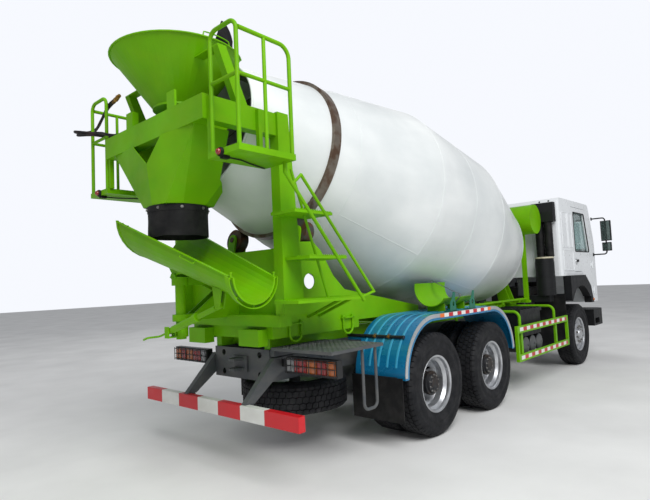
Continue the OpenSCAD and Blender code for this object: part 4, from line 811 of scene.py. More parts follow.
def nut(at, height, across):
    """Cone washer, hexagon and stud of one nut."""
    z = Vector(Z_AXIS)
    return [bar(at, at + z * WASHER_THICK, across * 1.3, 16, across * 1.05),
            bar(at + z * 0.004, at + z * height, across, 6, across * 0.93),
            bar(at + z * height * 0.9, at + z * (height + STUD_OUT), across * 0.5, 10)]


def ring_of_nuts(radius, count, base, height=0.022, across=0.0165):
    angles = [FULL_TURN * (i + 0.5) / count for i in range(count)]
    return [shape for angle in angles for shape in nut(polar(radius, angle, base), height, across)]


front_hub = mesh_of("front_hub", [revolve(FRONT_HUB, sides=HUB_SIDES)], wheel_silver, 35)
rear_hub = mesh_of("rear_hub", [revolve(REAR_HUB, sides=HUB_SIDES)], dark_steel, 35)
front_screws = ring_of_nuts(SCREW_CIRCLE, 8, 0.1435, height=0.006, across=0.006)
front_nuts = mesh_of("front_nuts", ring_of_nuts(NUT_CIRCLE, 10, FRONT_FACE) + front_screws, bare_steel, 25)
rear_screws = ring_of_nuts(SCREW_CIRCLE, 10, 0.0865, height=0.008, across=0.0085)
rear_nuts = mesh_of("rear_nuts", ring_of_nuts(NUT_CIRCLE, 10, REAR_FACE) + rear_screws, bare_steel, 25)
print("nuts:", len(front_nuts.polygons), "and", len(rear_nuts.polygons), "faces")

# %% [markdown]
# All the road wheels share these few meshes. The axles come from the CAD wheels' boxes. The wheel's own axis
# is Z, so it is turned to the side that it stands on, and the rear axles carry a second wheel inside the
# first.

# %% Wheels on their axles
FRONT_TRACK_Y, REAR_OUTER_Y = 1.011, 1.083

for row in ("front", "mid", "rear"):
    for side, hand in ((1, "left"), (-1, "right")):
        node = f"wheel_{row}_{hand}"
        tag = f"{row}_{hand}"
        low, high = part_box(node)
        x, z, body = (low.x + high.x) / 2, (low.z + high.z) / 2, body_of_node[node]
        if row == "front":
            wheels = [("", FRONT_TRACK_Y, front_rim)]
            hub, nuts, hub_slot = front_hub, front_nuts, "silver"
        else:
            wheels = [("_outer", REAR_OUTER_Y, outer_rim), ("_inner", REAR_OUTER_Y - TWIN_STEP, inner_rim)]
            hub, nuts, hub_slot = rear_hub, rear_nuts, "steel_dark"
        turn = Matrix.Rotation(-side * math.pi / 2, 4, "X")
        seats = [Matrix.Translation((x, side * y, z)) @ turn for suffix, y, rim in wheels]
        tyres = [add_piece(f"tyre_{tag}{suffix}", tyre_data, body, seat)
                 for (suffix, y, rim), seat in zip(wheels, seats)]
        for (suffix, y, rim), seat in zip(wheels, seats):
            add_piece(f"rim_{tag}{suffix}", rim, body, seat)
        add_piece(f"hub_{tag}", hub, body, seats[0])
        add_piece(f"nuts_{tag}", nuts, body, seats[0])
        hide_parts(node)

# %% [markdown]
# The spare wheel lies flat under the tail of the frame. A post hangs from the cross bar above it, and a
# plate with four bolts clamps the wheel's disc to the post. It shares the tyre's mesh with the other
# wheels, so only its rim and its carrier are new.

# %% Spare wheel
SPARE = dict(x=-1090, y=-150, z=565)
CARRIER = dict(top=890, back=230, front=60, half=60, thick=24.5, bolts_back=200, bolts_front=30, bolts_y=40)
CLAMP_PLATE = dict(low=60, high=75, radius=0.112, bolts=88)
POST_RADIUS, BOSS_RADIUS = 0.060, 0.045


def spare_carrier():
    x, y, z = SPARE["x"], SPARE["y"], SPARE["z"]
    top, low, high = CARRIER["top"], z + CLAMP_PLATE["low"], z + CLAMP_PLATE["high"]
    shapes = [block((x - CARRIER["back"], y - CARRIER["half"], top),
                    (x + CARRIER["front"], y + CARRIER["half"], top + CARRIER["thick"])),
              bar(mm(x, y, low), mm(x, y, top + 2), POST_RADIUS, 32),
              bar(mm(x, y, low), mm(x, y, high), CLAMP_PLATE["radius"], 40),
              bar(mm(x, y, z + 30), mm(x, y, low + 2), BOSS_RADIUS, 24)]
    for k in range(4):
        angle = math.pi / 4 + k * math.pi / 2
        at = mm(x, y, high) + polar(CLAMP_PLATE["bolts"] / 1000, angle)
        shapes.append(bolt(at, Z_AXIS, 0.013, 0.014))
        corner_x = x - CARRIER["bolts_back"] if k % 2 else x + CARRIER["bolts_front"]
        corner_y = y + (CARRIER["bolts_y"] if k < 2 else -CARRIER["bolts_y"])
        shapes.append(bolt(mm(corner_x, corner_y, top), (0, 0, -1), 0.012, 0.012))
    return shapes


spare_at = Matrix.Translation(mm(SPARE["x"], SPARE["y"], SPARE["z"]))
spare_tyre = add_piece("spare_tyre", tyre_data, "chassis", spare_at)
add_piece("spare_wheel_rim", spare_rim, "chassis", spare_at)
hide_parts("spare_wheel")
new_piece("spare_carrier", spare_carrier(), chassis_paint, smooth=35, bevel=0.002)
print("spare wheel placed")

# %% [markdown]
# The drum is a closed vessel of rolled and pressed plate. Its rings are welded to each other, so a low bead
# runs round it at every joint, and one along each ring where the rolled plate closes. The CAD shell has the
# same outline; a revolve with finer steps replaces it, because the light along the belly shows every facet.

# %% Drum
DRUM_TILT = math.radians(11.5)
DRUM_HEIGHT = 2818
DRUM_AXIS = Matrix.Translation(mm(0, 0, DRUM_HEIGHT)) @ Matrix.Rotation(math.pi / 2 + DRUM_TILT, 4, "Y")
DRUM_NOSE = 3.7003
DRUM_LINE = [(-2.000, 0.640), (-0.800, 0.948), (0.387, 1.222), (DRUM_NOSE - 1.690, 1.225),
             (DRUM_NOSE - 0.230, 0.905), (DRUM_NOSE - 0.060, 0.620), (DRUM_NOSE, 0.300)]
DRUM_PLATE = 0.006
DRUM_STEP = 0.15
WELDED_RINGS = 5
BELLY_JOINT = 1.2
WELD_TURNS = (0.4, 2.3, 4.0, 5.6, 1.3)
BEAD, SEAM = 0.0032, 0.003
MOUTH_ROLL = 0.012
SHAFT = dict(length=0.099, radius=0.070)


def drum_radius(s):
    for (s0, r0), (s1, r1) in zip(DRUM_LINE, DRUM_LINE[1:]):
        if s0 <= s <= s1:
            return r0 + (r1 - r0) * (s - s0) / (s1 - s0)
    return DRUM_LINE[-1][1]


def place_on_drum(shapes):
    for shape in shapes:
        bmesh.ops.transform(shape, matrix=DRUM_AXIS, verts=shape.verts)
    return shapes


def drum_skin():
    outside = []
    for (s0, r0), (s1, r1) in zip(DRUM_LINE, DRUM_LINE[1:]):
        steps = max(1, round((s1 - s0) / DRUM_STEP))
        outside += [(r0 + (r1 - r0) * k / steps, s0 + (s1 - s0) * k / steps) for k in range(steps)]
    mouth_s, mouth_r = DRUM_LINE[0]
    nose_s, nose_r = DRUM_LINE[-1]
    skin = revolve(outside + [(nose_r, nose_s), (0.0, nose_r)], sides=144)
    inside = [(r - DRUM_PLATE, s) for s, r in DRUM_LINE[:WELDED_RINGS]]
    lining = revolve(inside + [(0.0, nose_s - 0.05)], sides=72)
    bmesh.ops.reverse_faces(lining, faces=lining.faces)
    mouth = ring((0, 0, mouth_s), Z_AXIS, mouth_r, MOUTH_ROLL, 96, 12)
    shaft = bar((0, 0, nose_s - 0.001), (0, 0, nose_s + SHAFT["length"]), SHAFT["radius"], 32)
    return place_on_drum([skin, lining, mouth, shaft])


def weld_beads():
    joints = sorted([s for s, r in DRUM_LINE[:WELDED_RINGS]] + [BELLY_JOINT])
    shapes = [ring((0, 0, s), Z_AXIS, drum_radius(s) - 0.0005, BEAD, 128, 6) for s in joints[1:]]
    for s0, s1, angle in zip(joints, joints[1:], WELD_TURNS):
        for turn in (angle, angle + math.pi):
            shapes.append(bar(polar(drum_radius(s0), turn, s0), polar(drum_radius(s1), turn, s1), SEAM, 6))
    return place_on_drum(shapes)


drum = new_piece("drum_skin", drum_skin(), drum_paint, "drum", smooth=28)
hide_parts("drum_shell")
new_piece("drum_welds", weld_beads(), drum_paint, "drum", smooth=60)
print("drum:", len(drum.data.polygons), "faces")

# %% [markdown]
# Inside the drum two spiral blades run back to the mouth. They mix when the drum turns one way and push the
# concrete out when it turns the other way. Each blade is a strip between the wall and a smaller helix. A
# screw modifier could wind it, but the drum's radius changes on the way, so each row of corners is placed
# from that radius.

# %% Blades at the mouth
BLADE = dict(start=-1.97, end=0.6, turns=1.6, height=0.30, thick=0.006, gap=0.002, steps=120)


def blade(phase):
    shape = bmesh.new()
    rows = []
    for t in spaced(0, 1, BLADE["steps"]):
        s = BLADE["start"] + (BLADE["end"] - BLADE["start"]) * t
        angle = phase + FULL_TURN * BLADE["turns"] * t
        outer = drum_radius(s) - DRUM_PLATE - BLADE["gap"]
        inner = outer - BLADE["height"] * min(1, 0.25 + 3 * t)
        places = ((0.0, outer), (0.02, (outer + inner) / 2), (0.06, inner))
        rows.append([shape.verts.new(polar(r, angle, s + lean + thick))
                     for lean, r in places for thick in (0, BLADE["thick"])])
    for a, b in zip(rows, rows[1:]):
        for k in (0, 2):
            shape.faces.new((a[k], b[k], b[k + 2], a[k + 2]))
            shape.faces.new((a[k + 3], b[k + 3], b[k + 1], a[k + 1]))
        shape.faces.new((a[4], b[4], b[5], a[5]))
    bmesh.ops.recalc_face_normals(shape, faces=shape.faces)
    return shape


blades = place_on_drum([blade(0.3), blade(0.3 + math.pi)])
new_piece("drum_blades", blades, bare_steel, "drum", smooth=40)
print("blades made")

# %% [markdown]
# The rear bar is a box tube with seven painted bands, red at both ends. A painted band is thin, so each one
# is a sleeve of its own over the tube, one millimetre proud, with softened edges. Colouring the tube's own
# faces would need its mesh to be cut at every band.

# %% Rear bar bands
BAR = dict(x0=-2040, x1=-1970, z0=500, z1=625)
BAND_EDGES = [-1170, -760, -435, -110, 215, 545, 870, 1170]
BAND_PROUD = 1.2


def bar_bands(first):
    """Every second band, from the first one given. Those at the ends also cover the tube's end."""
    shapes = []
    last = len(BAND_EDGES) - 2
    for i in range(first, last + 1, 2):
        y0 = BAND_EDGES[i] - (BAND_PROUD if i == 0 else 0)
        y1 = BAND_EDGES[i + 1] + (BAND_PROUD if i == last else 0)
        shapes.append(block((BAR["x0"] - BAND_PROUD, y0, BAR["z0"] - BAND_PROUD),
                            (BAR["x1"] + BAND_PROUD, y1, BAR["z1"] + BAND_PROUD)))
    return shapes


new_piece("bar_bands_red", bar_bands(0), red_band, bevel=0.003)
new_piece("bar_bands_white", bar_bands(1), white_band, bevel=0.003)
print("bands:", len(BAND_EDGES) - 1)

# %% [markdown]
# Reflecting tape in short white and red stretches runs along both rails of the side guards. A loop lays the
# stretches, and the last one is cut where the rail ends; the tape is 0.6 mm thick. A texture could show it,
# but thin blocks keep their edges sharp at every distance.

# %% Reflecting tape
GUARD_TAPE = dict(start=2230, end=4190, length=125, y=1232, thick=0.6, rails=(485, 875), width=52)


def guard_tape(first):
    tape = GUARD_TAPE
    shapes = []
    for z in tape["rails"]:
        for side in (1, -1):
            for x in range(tape["start"] + first * tape["length"], tape["end"], 2 * tape["length"]):
                shapes.append(block((x, side * tape["y"], z),
                                    (min(x + tape["length"], tape["end"]), side * (tape["y"] + tape["thick"]),
                                     z + tape["width"])))
    return shapes


new_piece("guard_tape_red", guard_tape(1), tape_red)
white_stretches = new_piece("guard_tape_white", guard_tape(0), tape_white)
print("guard tape: white faces:", len(white_stretches.data.polygons))

# %% [markdown]
# The long mudguard is bright blue sheet. Pressed ribs run over it lengthwise; they are the same blue sheet,
# and their lighter blue is a painted highlight on them. A stainless strip covers its outer edge. Both follow
# the guard's own curve: an arc, a straight and an arc. Tape runs along the edge too, red and white, with an
# orange stretch at each end. One function gives places on that curve, and a section is skinned along it, so
# both fit the sheet.

# %% Mudguard ribs, edge and tape
GUARD = dict(r=600, z=680, back=-50, front=1370)
RIB = dict(places=(690, 800, 910, 1020, 1130), half=13, foot=-1.0, lift=1.5, crown=4.0, span=(0.12, 2.92))
GUARD_EDGE = [(1239, 1.5), (1246.5, 1.5), (1246.5, -40), (1245.2, -40)]
EDGE_SPAN = (0.02, 2.98)
ARCH_TAPE = dict(inner=1246.6, outer=1247.4, z0=1237, z1=1277, start=160, length=97.3, count=11,
                 ends=((70, 160), (1230, 1320)))


def guard_place(t, lift):
    """Place on the guard's curve: t from 0 at its rear end, through 1 and 2 where it is straight, to 3."""
    r = GUARD["r"] + lift
    if 1 <= t < 2:
        return GUARD["back"] + (GUARD["front"] - GUARD["back"]) * (t - 1), GUARD["z"] + r
    middle, end = (GUARD["back"], 2) if t < 1 else (GUARD["front"], 3)
    angle = (end - t) * math.pi / 2
    return middle + r * math.cos(angle), GUARD["z"] + r * math.sin(angle)


def along_guard(section, t0, t1, steps, caps=()):
    """A strip on the guard's curve. Its section lists places across the truck and lifts off the sheet."""
    rows = []
    for t in spaced(t0, t1, steps):
        places = [guard_place(t, lift) for y, lift in section]
        rows.append([mm(x, y, z) for (y, lift), (x, z) in zip(section, places)])
    return loft(rows, caps=caps)


def rib_section(y):
    low, high = y - RIB["half"], y + RIB["half"]
    return [(low, RIB["foot"]), (low, RIB["lift"]), (y, RIB["lift"] + RIB["crown"]),
            (high, RIB["lift"]), (high, RIB["foot"])]


def arch_tape(side, x0, x1):
    low, high = (ARCH_TAPE["inner"], ARCH_TAPE["z0"]), (ARCH_TAPE["outer"], ARCH_TAPE["z1"])
    return block((x0, side * low[0], low[1]), (x1, side * high[0], high[1]))


ribs, edges, tape = [], [], {"red": [], "white": [], "orange": []}
for side in (1, -1):
    ribs += [along_guard(rib_section(side * y), *RIB["span"], 48, caps=(0, -1)) for y in RIB["places"]]
    edges.append(along_guard([(side * y, lift) for y, lift in GUARD_EDGE], *EDGE_SPAN, 72))
    tape["orange"] += [arch_tape(side, *stretch) for stretch in ARCH_TAPE["ends"]]
    for i in range(ARCH_TAPE["count"]):
        x = ARCH_TAPE["start"] + i * ARCH_TAPE["length"]
        tape["red" if i % 2 else "white"].append(arch_tape(side, x, x + ARCH_TAPE["length"]))
# The ribs' lighter blue is a painted highlight on the pressed sheet.
new_piece("guard_ribs", ribs, painted_rib_highlight, smooth=50)
print("ribs:", len(ribs), "tape:", {colour: len(stretches) for colour, stretches in tape.items()})
new_piece("guard_edges", edges, silver_paint, smooth=50)
new_piece("arch_tape_red", tape["red"], tape_red)
new_piece("arch_tape_white", tape["white"], tape_white)
new_piece("arch_tape_orange", tape["orange"], tape_orange)

# %% [markdown]
# Each tail lamp is a row of lenses behind its wire cage: a clear one towards the middle of the truck, then
# red, amber, red and amber. A lens is a shallow box whose edge is rounded, in one colour for each use.

# %% Tail lamp lenses
LAMP = dict(x=-1640, y0=620, y1=1240, z0=860, z1=1010, margin=14)
LENS_ROW = [(0.03, 0.17, "clear"), (0.19, 0.42, "red"), (0.44, 0.62, "amber"), (0.64, 0.80, "red"),
            (0.82, 0.97, "amber")]
LENS_STEPS = [(0, 1.0), (0, -7.0), (2.5, -10.0), (7, -11.0)]


def lens_block(y0, y1, z0, z1):
    """A lens whose edge is rounded and whose face stands 11 mm out of the housing."""
    rows = []
    for inset, out in LENS_STEPS:
        ya, yb, za, zb = y0 + inset, y1 - inset, z0 + inset, z1 - inset
        rows.append([mm(LAMP["x"] + out, y, z) for y, z in ((ya, za), (yb, za), (yb, zb), (ya, zb))])
    return loft(rows, caps=(-1,))


lens_sets = {"red": [], "amber": [], "clear": []}
lamp_span = LAMP["y1"] - LAMP["y0"]
for side in (1, -1):
    for a, b, colour in LENS_ROW:
        ya, yb = sorted((side * (LAMP["y0"] + a * lamp_span), side * (LAMP["y0"] + b * lamp_span)))
        lens_sets[colour].append(lens_block(ya, yb, LAMP["z0"] + LAMP["margin"], LAMP["z1"] - LAMP["margin"]))
for colour, material in (("red", lamp_red), ("amber", lamp_amber), ("clear", lamp_clear)):
    new_piece(f"tail_lens_{colour}", lens_sets[colour], material, smooth=40)
print("lenses:", sum(len(lenses) for lenses in lens_sets.values()))

# %% [markdown]
# The collar under the discharge hopper is a sheet of rubber, cut by hand, so its lower edge waves a little.
# A band with eight steel bolts clamps it to the hopper's neck. The splash flap in the charging hopper is
# the same kind of sheet. Both could be planes with a thickness modifier; here the waves are drawn in the
# outline.

# %% Rubber collar and flap
COLLAR = dict(x=-2330, radius=267.3, thick=9, z0=2130, z1=2408, band_z=2352)
FLAP = dict(x=-2300, radius=579.5, thick=9, foot=3791, start=15, length=232, corner=(70, 3820), shoulder=185)


def collar_sheet(around=120, rows=12):
    """A tube whose wall waves more towards its free edge."""
    loops = []
    for inward, shares in ((0, spaced(0, 1, rows)), (COLLAR["thick"], spaced(1, 0, rows))):
        for t in shares:
            loop = []
            for angle in spaced(0, FULL_TURN, around)[:-1]:
                wave = noise.noise(polar(2.2, angle, t * 1.4))
                r = COLLAR["radius"] - 1.0 + min(1.0, 9.0 * wave * t) - inward
                z = COLLAR["z1"] - (COLLAR["z1"] - COLLAR["z0"]) * t + (3.0 + 5.0 * wave) * (t == 1)
                loop.append(mm(COLLAR["x"] + r * math.cos(angle), r * math.sin(angle), z))
            loops.append(loop)
    return loft(loops, closed=True)


def flap_top(x):
    """Height of the flap's upper edge at place x along the rim: a slanted side and a round shoulder."""
    slanted = FLAP["foot"] + max(0.0, x - FLAP["start"]) * 214 / 80
    middle, height = FLAP["corner"]
    shoulder = height + math.sqrt(max(0.0, FLAP["shoulder"] ** 2 - (x - middle) ** 2))
    return max(FLAP["foot"] + 2, min(slanted, shoulder))


def flap_sheet(columns=28, rows=10):
    shape = bmesh.new()
    grid = []
    for inward in (0, FLAP["thick"]):
        sheet = []
        for share in spaced(0, 1, columns):
            x = FLAP["start"] + FLAP["length"] * share
            column = []
            for t in spaced(0, 1, rows):
                r = FLAP["radius"] - inward - 5.0 * math.sin(math.pi * t) * share
                z = FLAP["foot"] + (flap_top(x) - FLAP["foot"]) * t
                column.append(shape.verts.new(mm(FLAP["x"] + x, -math.sqrt(r * r - x * x), z)))
            sheet.append(column)
        grid.append(sheet)
    for i in range(columns):
        for k in range(rows):
            for sheet in grid:
                shape.faces.new((sheet[i][k], sheet[i + 1][k], sheet[i + 1][k + 1], sheet[i][k + 1]))
    rim = ([(i, 0) for i in range(columns)] + [(columns, k) for k in range(rows)]
           + [(i, rows) for i in range(columns, 0, -1)] + [(0, k) for k in range(rows, 0, -1)])
    for (i, k), (m, n) in zip(rim, rim[1:] + rim[:1]):
        shape.faces.new((grid[0][i][k], grid[0][m][n], grid[1][m][n], grid[1][i][k]))
    bmesh.ops.recalc_face_normals(shape, faces=shape.faces)
    return shape


collar = new_piece("rubber_collar", [collar_sheet(), flap_sheet()], black_rubber, smooth=40)
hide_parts("hopper_rubber")
neck = (COLLAR["radius"] + 0.2) / 1000
band_low, band_high = COLLAR["band_z"] / 1000, (COLLAR["z1"] - 4) / 1000
band = sleeve(neck - 0.001, neck + 0.003, band_low, band_high, mm(COLLAR["x"], 0, 0), 96)
new_piece("collar_band", [band], black_rubber, smooth=35)
band_middle = mm(COLLAR["x"], 0, (COLLAR["band_z"] + COLLAR["z1"]) / 2)
outward = [polar(1.0, angle) for angle in spaced(0.35, 0.35 + FULL_TURN, 8)[:-1]]
bolts = [bolt(band_middle + out * (neck + 0.003), out, 0.010, 0.011) for out in outward]
new_piece("collar_bolts", bolts, bare_steel, smooth=35)
print("collar:", len(collar.data.polygons), "faces,", len(bolts), "bolts")

# %% [markdown]
# A red marker lamp sits on the rear edge of each platform: a domed lens in a black rubber cup, with a black
# cable along the underside. A black pipe crosses behind each mudguard, in brass clamps as on the real
# truck. Lamp and cup are turned from small profiles, because every part of them is round.

# %% Marker lamps and pipe clamps
DECK_LAMP = dict(x=-2590, y=1027, z=2672, bracket_x=(2, 62), bracket_half=22, bracket_z=(2626, 2651))
CUP = [(0.0, 0.0), (0.036, 0.0), (0.036, 0.012), (0.031, 0.024), (0.027, 0.024), (0.0, 0.020)]
CABLE = [(-2535, 1027, 2640), (-2400, 1020, 2640), (-2250, 960, 2641), (-2060, 900, 2642)]
CABLE_RADIUS = 0.006
GUARD_PIPE = dict(x=-515, z=1085, y0=426, y1=1150, radius=0.016, clamps=(800, 975))
U_BOLT = dict(step=9, radius=0.0175, wire=0.0035, lean=4, legs=(16, 30))
CLAMP_SEAT = dict(x=(-21, -15), half_y=16, half_z=8)


def pipe_clamp(side, y):
    """Two U-bolts round the pipe, with the plate and the bolt between them."""
    x, z = GUARD_PIPE["x"], GUARD_PIPE["z"]
    shapes = []
    for across in (side * (y - U_BOLT["step"]), side * (y + U_BOLT["step"])):
        shapes.append(ring(mm(x, across, z), (0, 1, 0), U_BOLT["radius"], U_BOLT["wire"], 24, 8))
        for up in (-1, 1):
            leg = [mm(x + U_BOLT["lean"], across, z + up * reach) for reach in U_BOLT["legs"]]
            shapes.append(bar(leg[0], leg[1], U_BOLT["wire"], 8))
    (x0, x1), half_y, half_z = CLAMP_SEAT["x"], CLAMP_SEAT["half_y"], CLAMP_SEAT["half_z"]
    shapes.append(block((x + x0, side * y - half_y, z - half_z), (x + x1, side * y + half_y, z + half_z)))
    shapes.append(bolt(mm(x + x0, side * y, z), (-1, 0, 0), 0.009, 0.014))
    return shapes


domes, cups, clamps, pipes = [], [], [], []
for side in (1, -1):
    x, y = DECK_LAMP["x"], side * DECK_LAMP["y"]
    at = mm(x, y, DECK_LAMP["z"])
    domes.append(dome(at + Vector((-0.020, 0, 0)), (-1, 0, 0), 0.027, 0.030, 24, 6))
    (x0, x1), (z0, z1), half = DECK_LAMP["bracket_x"], DECK_LAMP["bracket_z"], DECK_LAMP["bracket_half"]
    cups += [revolve(CUP, at, (-1, 0, 0), 28), block((x + x0, y - half, z0), (x + x1, y + half, z1)),
             tube(rounded([mm(a, side * b, c) for a, b, c in CABLE], 0.05), CABLE_RADIUS, 8)]
    a, b = [mm(GUARD_PIPE["x"], side * y, GUARD_PIPE["z"]) for y in (GUARD_PIPE["y0"], GUARD_PIPE["y1"])]
    along = (b - a).normalized()
    pipes += [bar(a, b, GUARD_PIPE["radius"], 20), bar(b - along * 0.004, b + along * 0.010, 0.019, 16)]
    for y in GUARD_PIPE["clamps"]:
        clamps += pipe_clamp(side, y)
new_piece("deck_lamp_domes", domes, lamp_red, smooth=50)
new_piece("deck_lamp_cups", cups, black_rubber, smooth=35)
new_piece("guard_pipes", pipes, black_paint_and_hole_shade, smooth=40)
new_piece("guard_pipe_clamps", clamps, brass, smooth=35)
print("marker lamps:", len(domes), "clamp parts:", len(clamps))

# %% [markdown]
# The long frame rails are punched with rows of small holes, and bolts hold the cross members to their webs.
# The body is tied to the frame by green U-bolts, whose nuts sit on small plates beside the rear pedestal. A
# hole is a thin black disc on the web, painted shade in place of its dark inside, because nobody can look
# into it from outside.

# %% Frame holes, bolts and U-bolts
RAIL = dict(y=425, rows=(905, 965), holes=((-1600, -1330), (-960, -640), (1420, 1560)), step=45,
            radius=0.008, depth=0.0006)
CROSS_MEMBERS = (-1250, 675, 2150, 3300)
MEMBER_BOLTS = [(-60, 925), (60, 925), (-60, 1015), (60, 1015), (0, 865)]
TIE = dict(y=636, z0=1135, z1=1330, width=150, places=(-1590, -830), plate=(621, 652),
           plate_z=(1292, 1304), overhang=28, bend=0.070, wire=0.011)


def body_tie(side, x):
    """A U-bolt with its plate and two nuts."""
    y, x1 = side * TIE["y"], x + TIE["width"]
    legs = [mm(x, y, TIE["z1"]), mm(x, y, TIE["z0"]), mm(x1, y, TIE["z0"]), mm(x1, y, TIE["z1"])]
    low, high = TIE["plate_z"]
    plate = block((x - TIE["overhang"], side * TIE["plate"][0], low),
                  (x1 + TIE["overhang"], side * TIE["plate"][1], high))
    nuts = [bolt(mm(a, y, high), Z_AXIS, 0.019, 0.018) for a in (x, x1)]
    return [tube(rounded(legs, TIE["bend"], 8), TIE["wire"]), plate] + nuts


holes, frame_bolts, ties = [], [], []
for side in (1, -1):
    out = Vector((0, side, 0))
    for x0, x1 in RAIL["holes"]:
        for x in range(x0, x1, RAIL["step"]):
            for row, z in enumerate(RAIL["rows"]):
                at = mm(x + row * RAIL["step"] / 2, side * RAIL["y"], z)
                holes.append(bar(at, at + out * RAIL["depth"], RAIL["radius"]))
    for x in CROSS_MEMBERS:
        frame_bolts += [bolt(mm(x + dx, side * RAIL["y"], z), out, 0.012, 0.012) for dx, z in MEMBER_BOLTS]
    for x in TIE["places"]:
        ties += body_tie(side, x)
# The black discs are painted shade where the holes' dark insides would be.
new_piece("frame_holes", holes, black_paint_and_hole_shade)
new_piece("frame_bolts", frame_bolts, bare_steel)
new_piece("body_ties", ties, green_paint, smooth=40)
print("frame holes:", len(holes), "bolts:", len(frame_bolts))

# %% [markdown]
# The step behind the right wheels is chequer plate: rows of raised lozenges that turn by a right angle from
# one to the next. The ladder's steps have saw teeth along their edges, which hold a muddy boot. They could
# be bump, but this step is close to the camera and is seen at a low angle, so they are real.

# %% Chequer plate and step teeth
STEP = dict(x0=-1700, x1=-980, y0=-1240, y1=-486, z=1090, pitch=30, margin=18)
LOZENGE = dict(length=14, width=5, height=2.2, top=0.6)
LADDER_STEPS = [(-1970, -1510, 2280), (-1820, -1340, 1900), (-1970, -1100, 1530)]
TOOTH_ROWS_Y = (-1150, -1003, -861)
TOOTH = dict(pitch=26, height=12, thick=5)


def lozenge(x, y, turned):
    a, b = (LOZENGE["width"], LOZENGE["length"]) if turned else (LOZENGE["length"], LOZENGE["width"])
    rows = []
    for share, z in ((1, STEP["z"] - 0.2), (LOZENGE["top"], STEP["z"] + LOZENGE["height"])):
        corners = ((a, 0), (0, b), (-a, 0), (0, -b))
        rows.append([mm(x + dx * share, y + dy * share, z) for dx, dy in corners])
    return loft(rows, caps=(-1,))


def tooth(x, y, z):
    corners = ((0, -1), (TOOTH["pitch"], -1), (TOOTH["pitch"] * 0.5, TOOTH["height"]))
    rows = [[mm(x + dx, y + dy, z + dz) for dx, dz in corners] for dy in (0, TOOTH["thick"])]
    return loft(rows, caps=(0, -1))


def plate_places(low, high):
    return enumerate(range(low + STEP["margin"], high - 10, STEP["pitch"]))


lozenges = [lozenge(x, y, (i + j) % 2) for i, x in plate_places(STEP["x0"], STEP["x1"])
            for j, y in plate_places(STEP["y0"], STEP["y1"])]
new_piece("step_chequer", lozenges, chassis_paint)
teeth = []
for x0, x1, z in LADDER_STEPS:
    for y in TOOTH_ROWS_Y:
        count = (x1 - x0 - 4) // TOOTH["pitch"]
        teeth += [tooth(x0 + 4 + i * TOOTH["pitch"], y, z) for i in range(count)]
new_piece("step_teeth", teeth, green_paint)
print("lozenges:", len(lozenges), "teeth:", len(teeth))

# %% [markdown]
# The fuel tank hangs in two steel straps, and its filler cap is a small turned shape. The air tanks have
# pressed ends with a drain plug. A strap is skinned over the tank's rounded section, so it fits without a
# modifier.

# %% Fuel tank and air tanks
FUEL = dict(y0=495, y1=1158, z0=470, z1=1030, corner=80, straps=(2745, 3305), cap=(2690, 900))
FILLER_CAP = [(0.052, 0.0), (0.052, 0.012), (0.046, 0.014), (0.046, 0.034), (0.040, 0.038), (0, 0.038)]
AIR_TANKS = dict(places=(2640, 2900, 3160), y=-1140, z=640, radius=0.116)


def strap(x, width=46, proud=2.5, steps=6):
    """A flat band round the fuel tank."""
    c = FUEL["corner"]
    corners = [(FUEL["y1"] - c, FUEL["z0"] + c, -90), (FUEL["y1"] - c, FUEL["z1"] - c, 0),
               (FUEL["y0"] + c, FUEL["z1"] - c, 90), (FUEL["y0"] + c, FUEL["z0"] + c, 180)]
    rows = []
    for y, z, start in corners:
        for angle in spaced(math.radians(start), math.radians(start + 90), steps):
            rows.append([mm(x + dx, y + r * math.cos(angle), z + r * math.sin(angle))
                         for dx, r in flat_section(0, width, c, c + proud)])
    return loft(rows, closed=True)


cap = revolve(FILLER_CAP, mm(FUEL["cap"][0], FUEL["cap"][1], FUEL["z1"] - 2))
tank_fittings = [strap(x) for x in FUEL["straps"]] + [cap]
new_piece("fuel_tank_straps", tank_fittings, bare_steel, smooth=40)
tank_ends = []
for x in AIR_TANKS["places"]:
    at = mm(x, AIR_TANKS["y"], AIR_TANKS["z"])
    tank_ends.append(dome(at, (0, -1, 0), AIR_TANKS["radius"], 0.030, 40, 7))
    tank_ends.append(bolt(at + Vector((0, -0.029, 0)), (0, -1, 0), 0.012, 0.012))
new_piece("air_tank_ends", tank_ends, chassis_paint, smooth=40)
print("straps and cap:", len(tank_fittings), "tank ends and plugs:", len(tank_ends))

# %% [markdown]
# The intake pipes behind the cab are rubber bellows between the air box and the filter. A pale clamp band
# holds the filter's lid, and the air box has a row of louvres. A bellows is one profile, repeated for each
# fold.

# %% Air intake
INTAKE = dict(x=4265, y=-920, pipe=75, pipe_radius=0.0655, low=1.962, high=2.545, fold=0.024, fold_out=0.007)
BAND_SECTION = [(0.150, 1.922), (0.1535, 1.924), (0.1535, 1.948), (0.150, 1.950), (0.150, 1.922)]
FILTER_RINGS_Z = (1.33, 1.40, 1.62, 1.84)
LOUVRE = dict(x=(4288, 4402), y=(-1116, -1109), z=range(2590, 2870, 22), height=9)


def bellows_profile():
    r, out, fold, z = INTAKE["pipe_radius"], INTAKE["fold_out"], INTAKE["fold"], INTAKE["low"]
    profile = []
    while z < INTAKE["high"]:
        profile += [(r, z), (r + out, z + fold * 0.3), (r + out, z + fold * 0.6), (r, z + fold * 0.9)]
        z += fold
    return profile


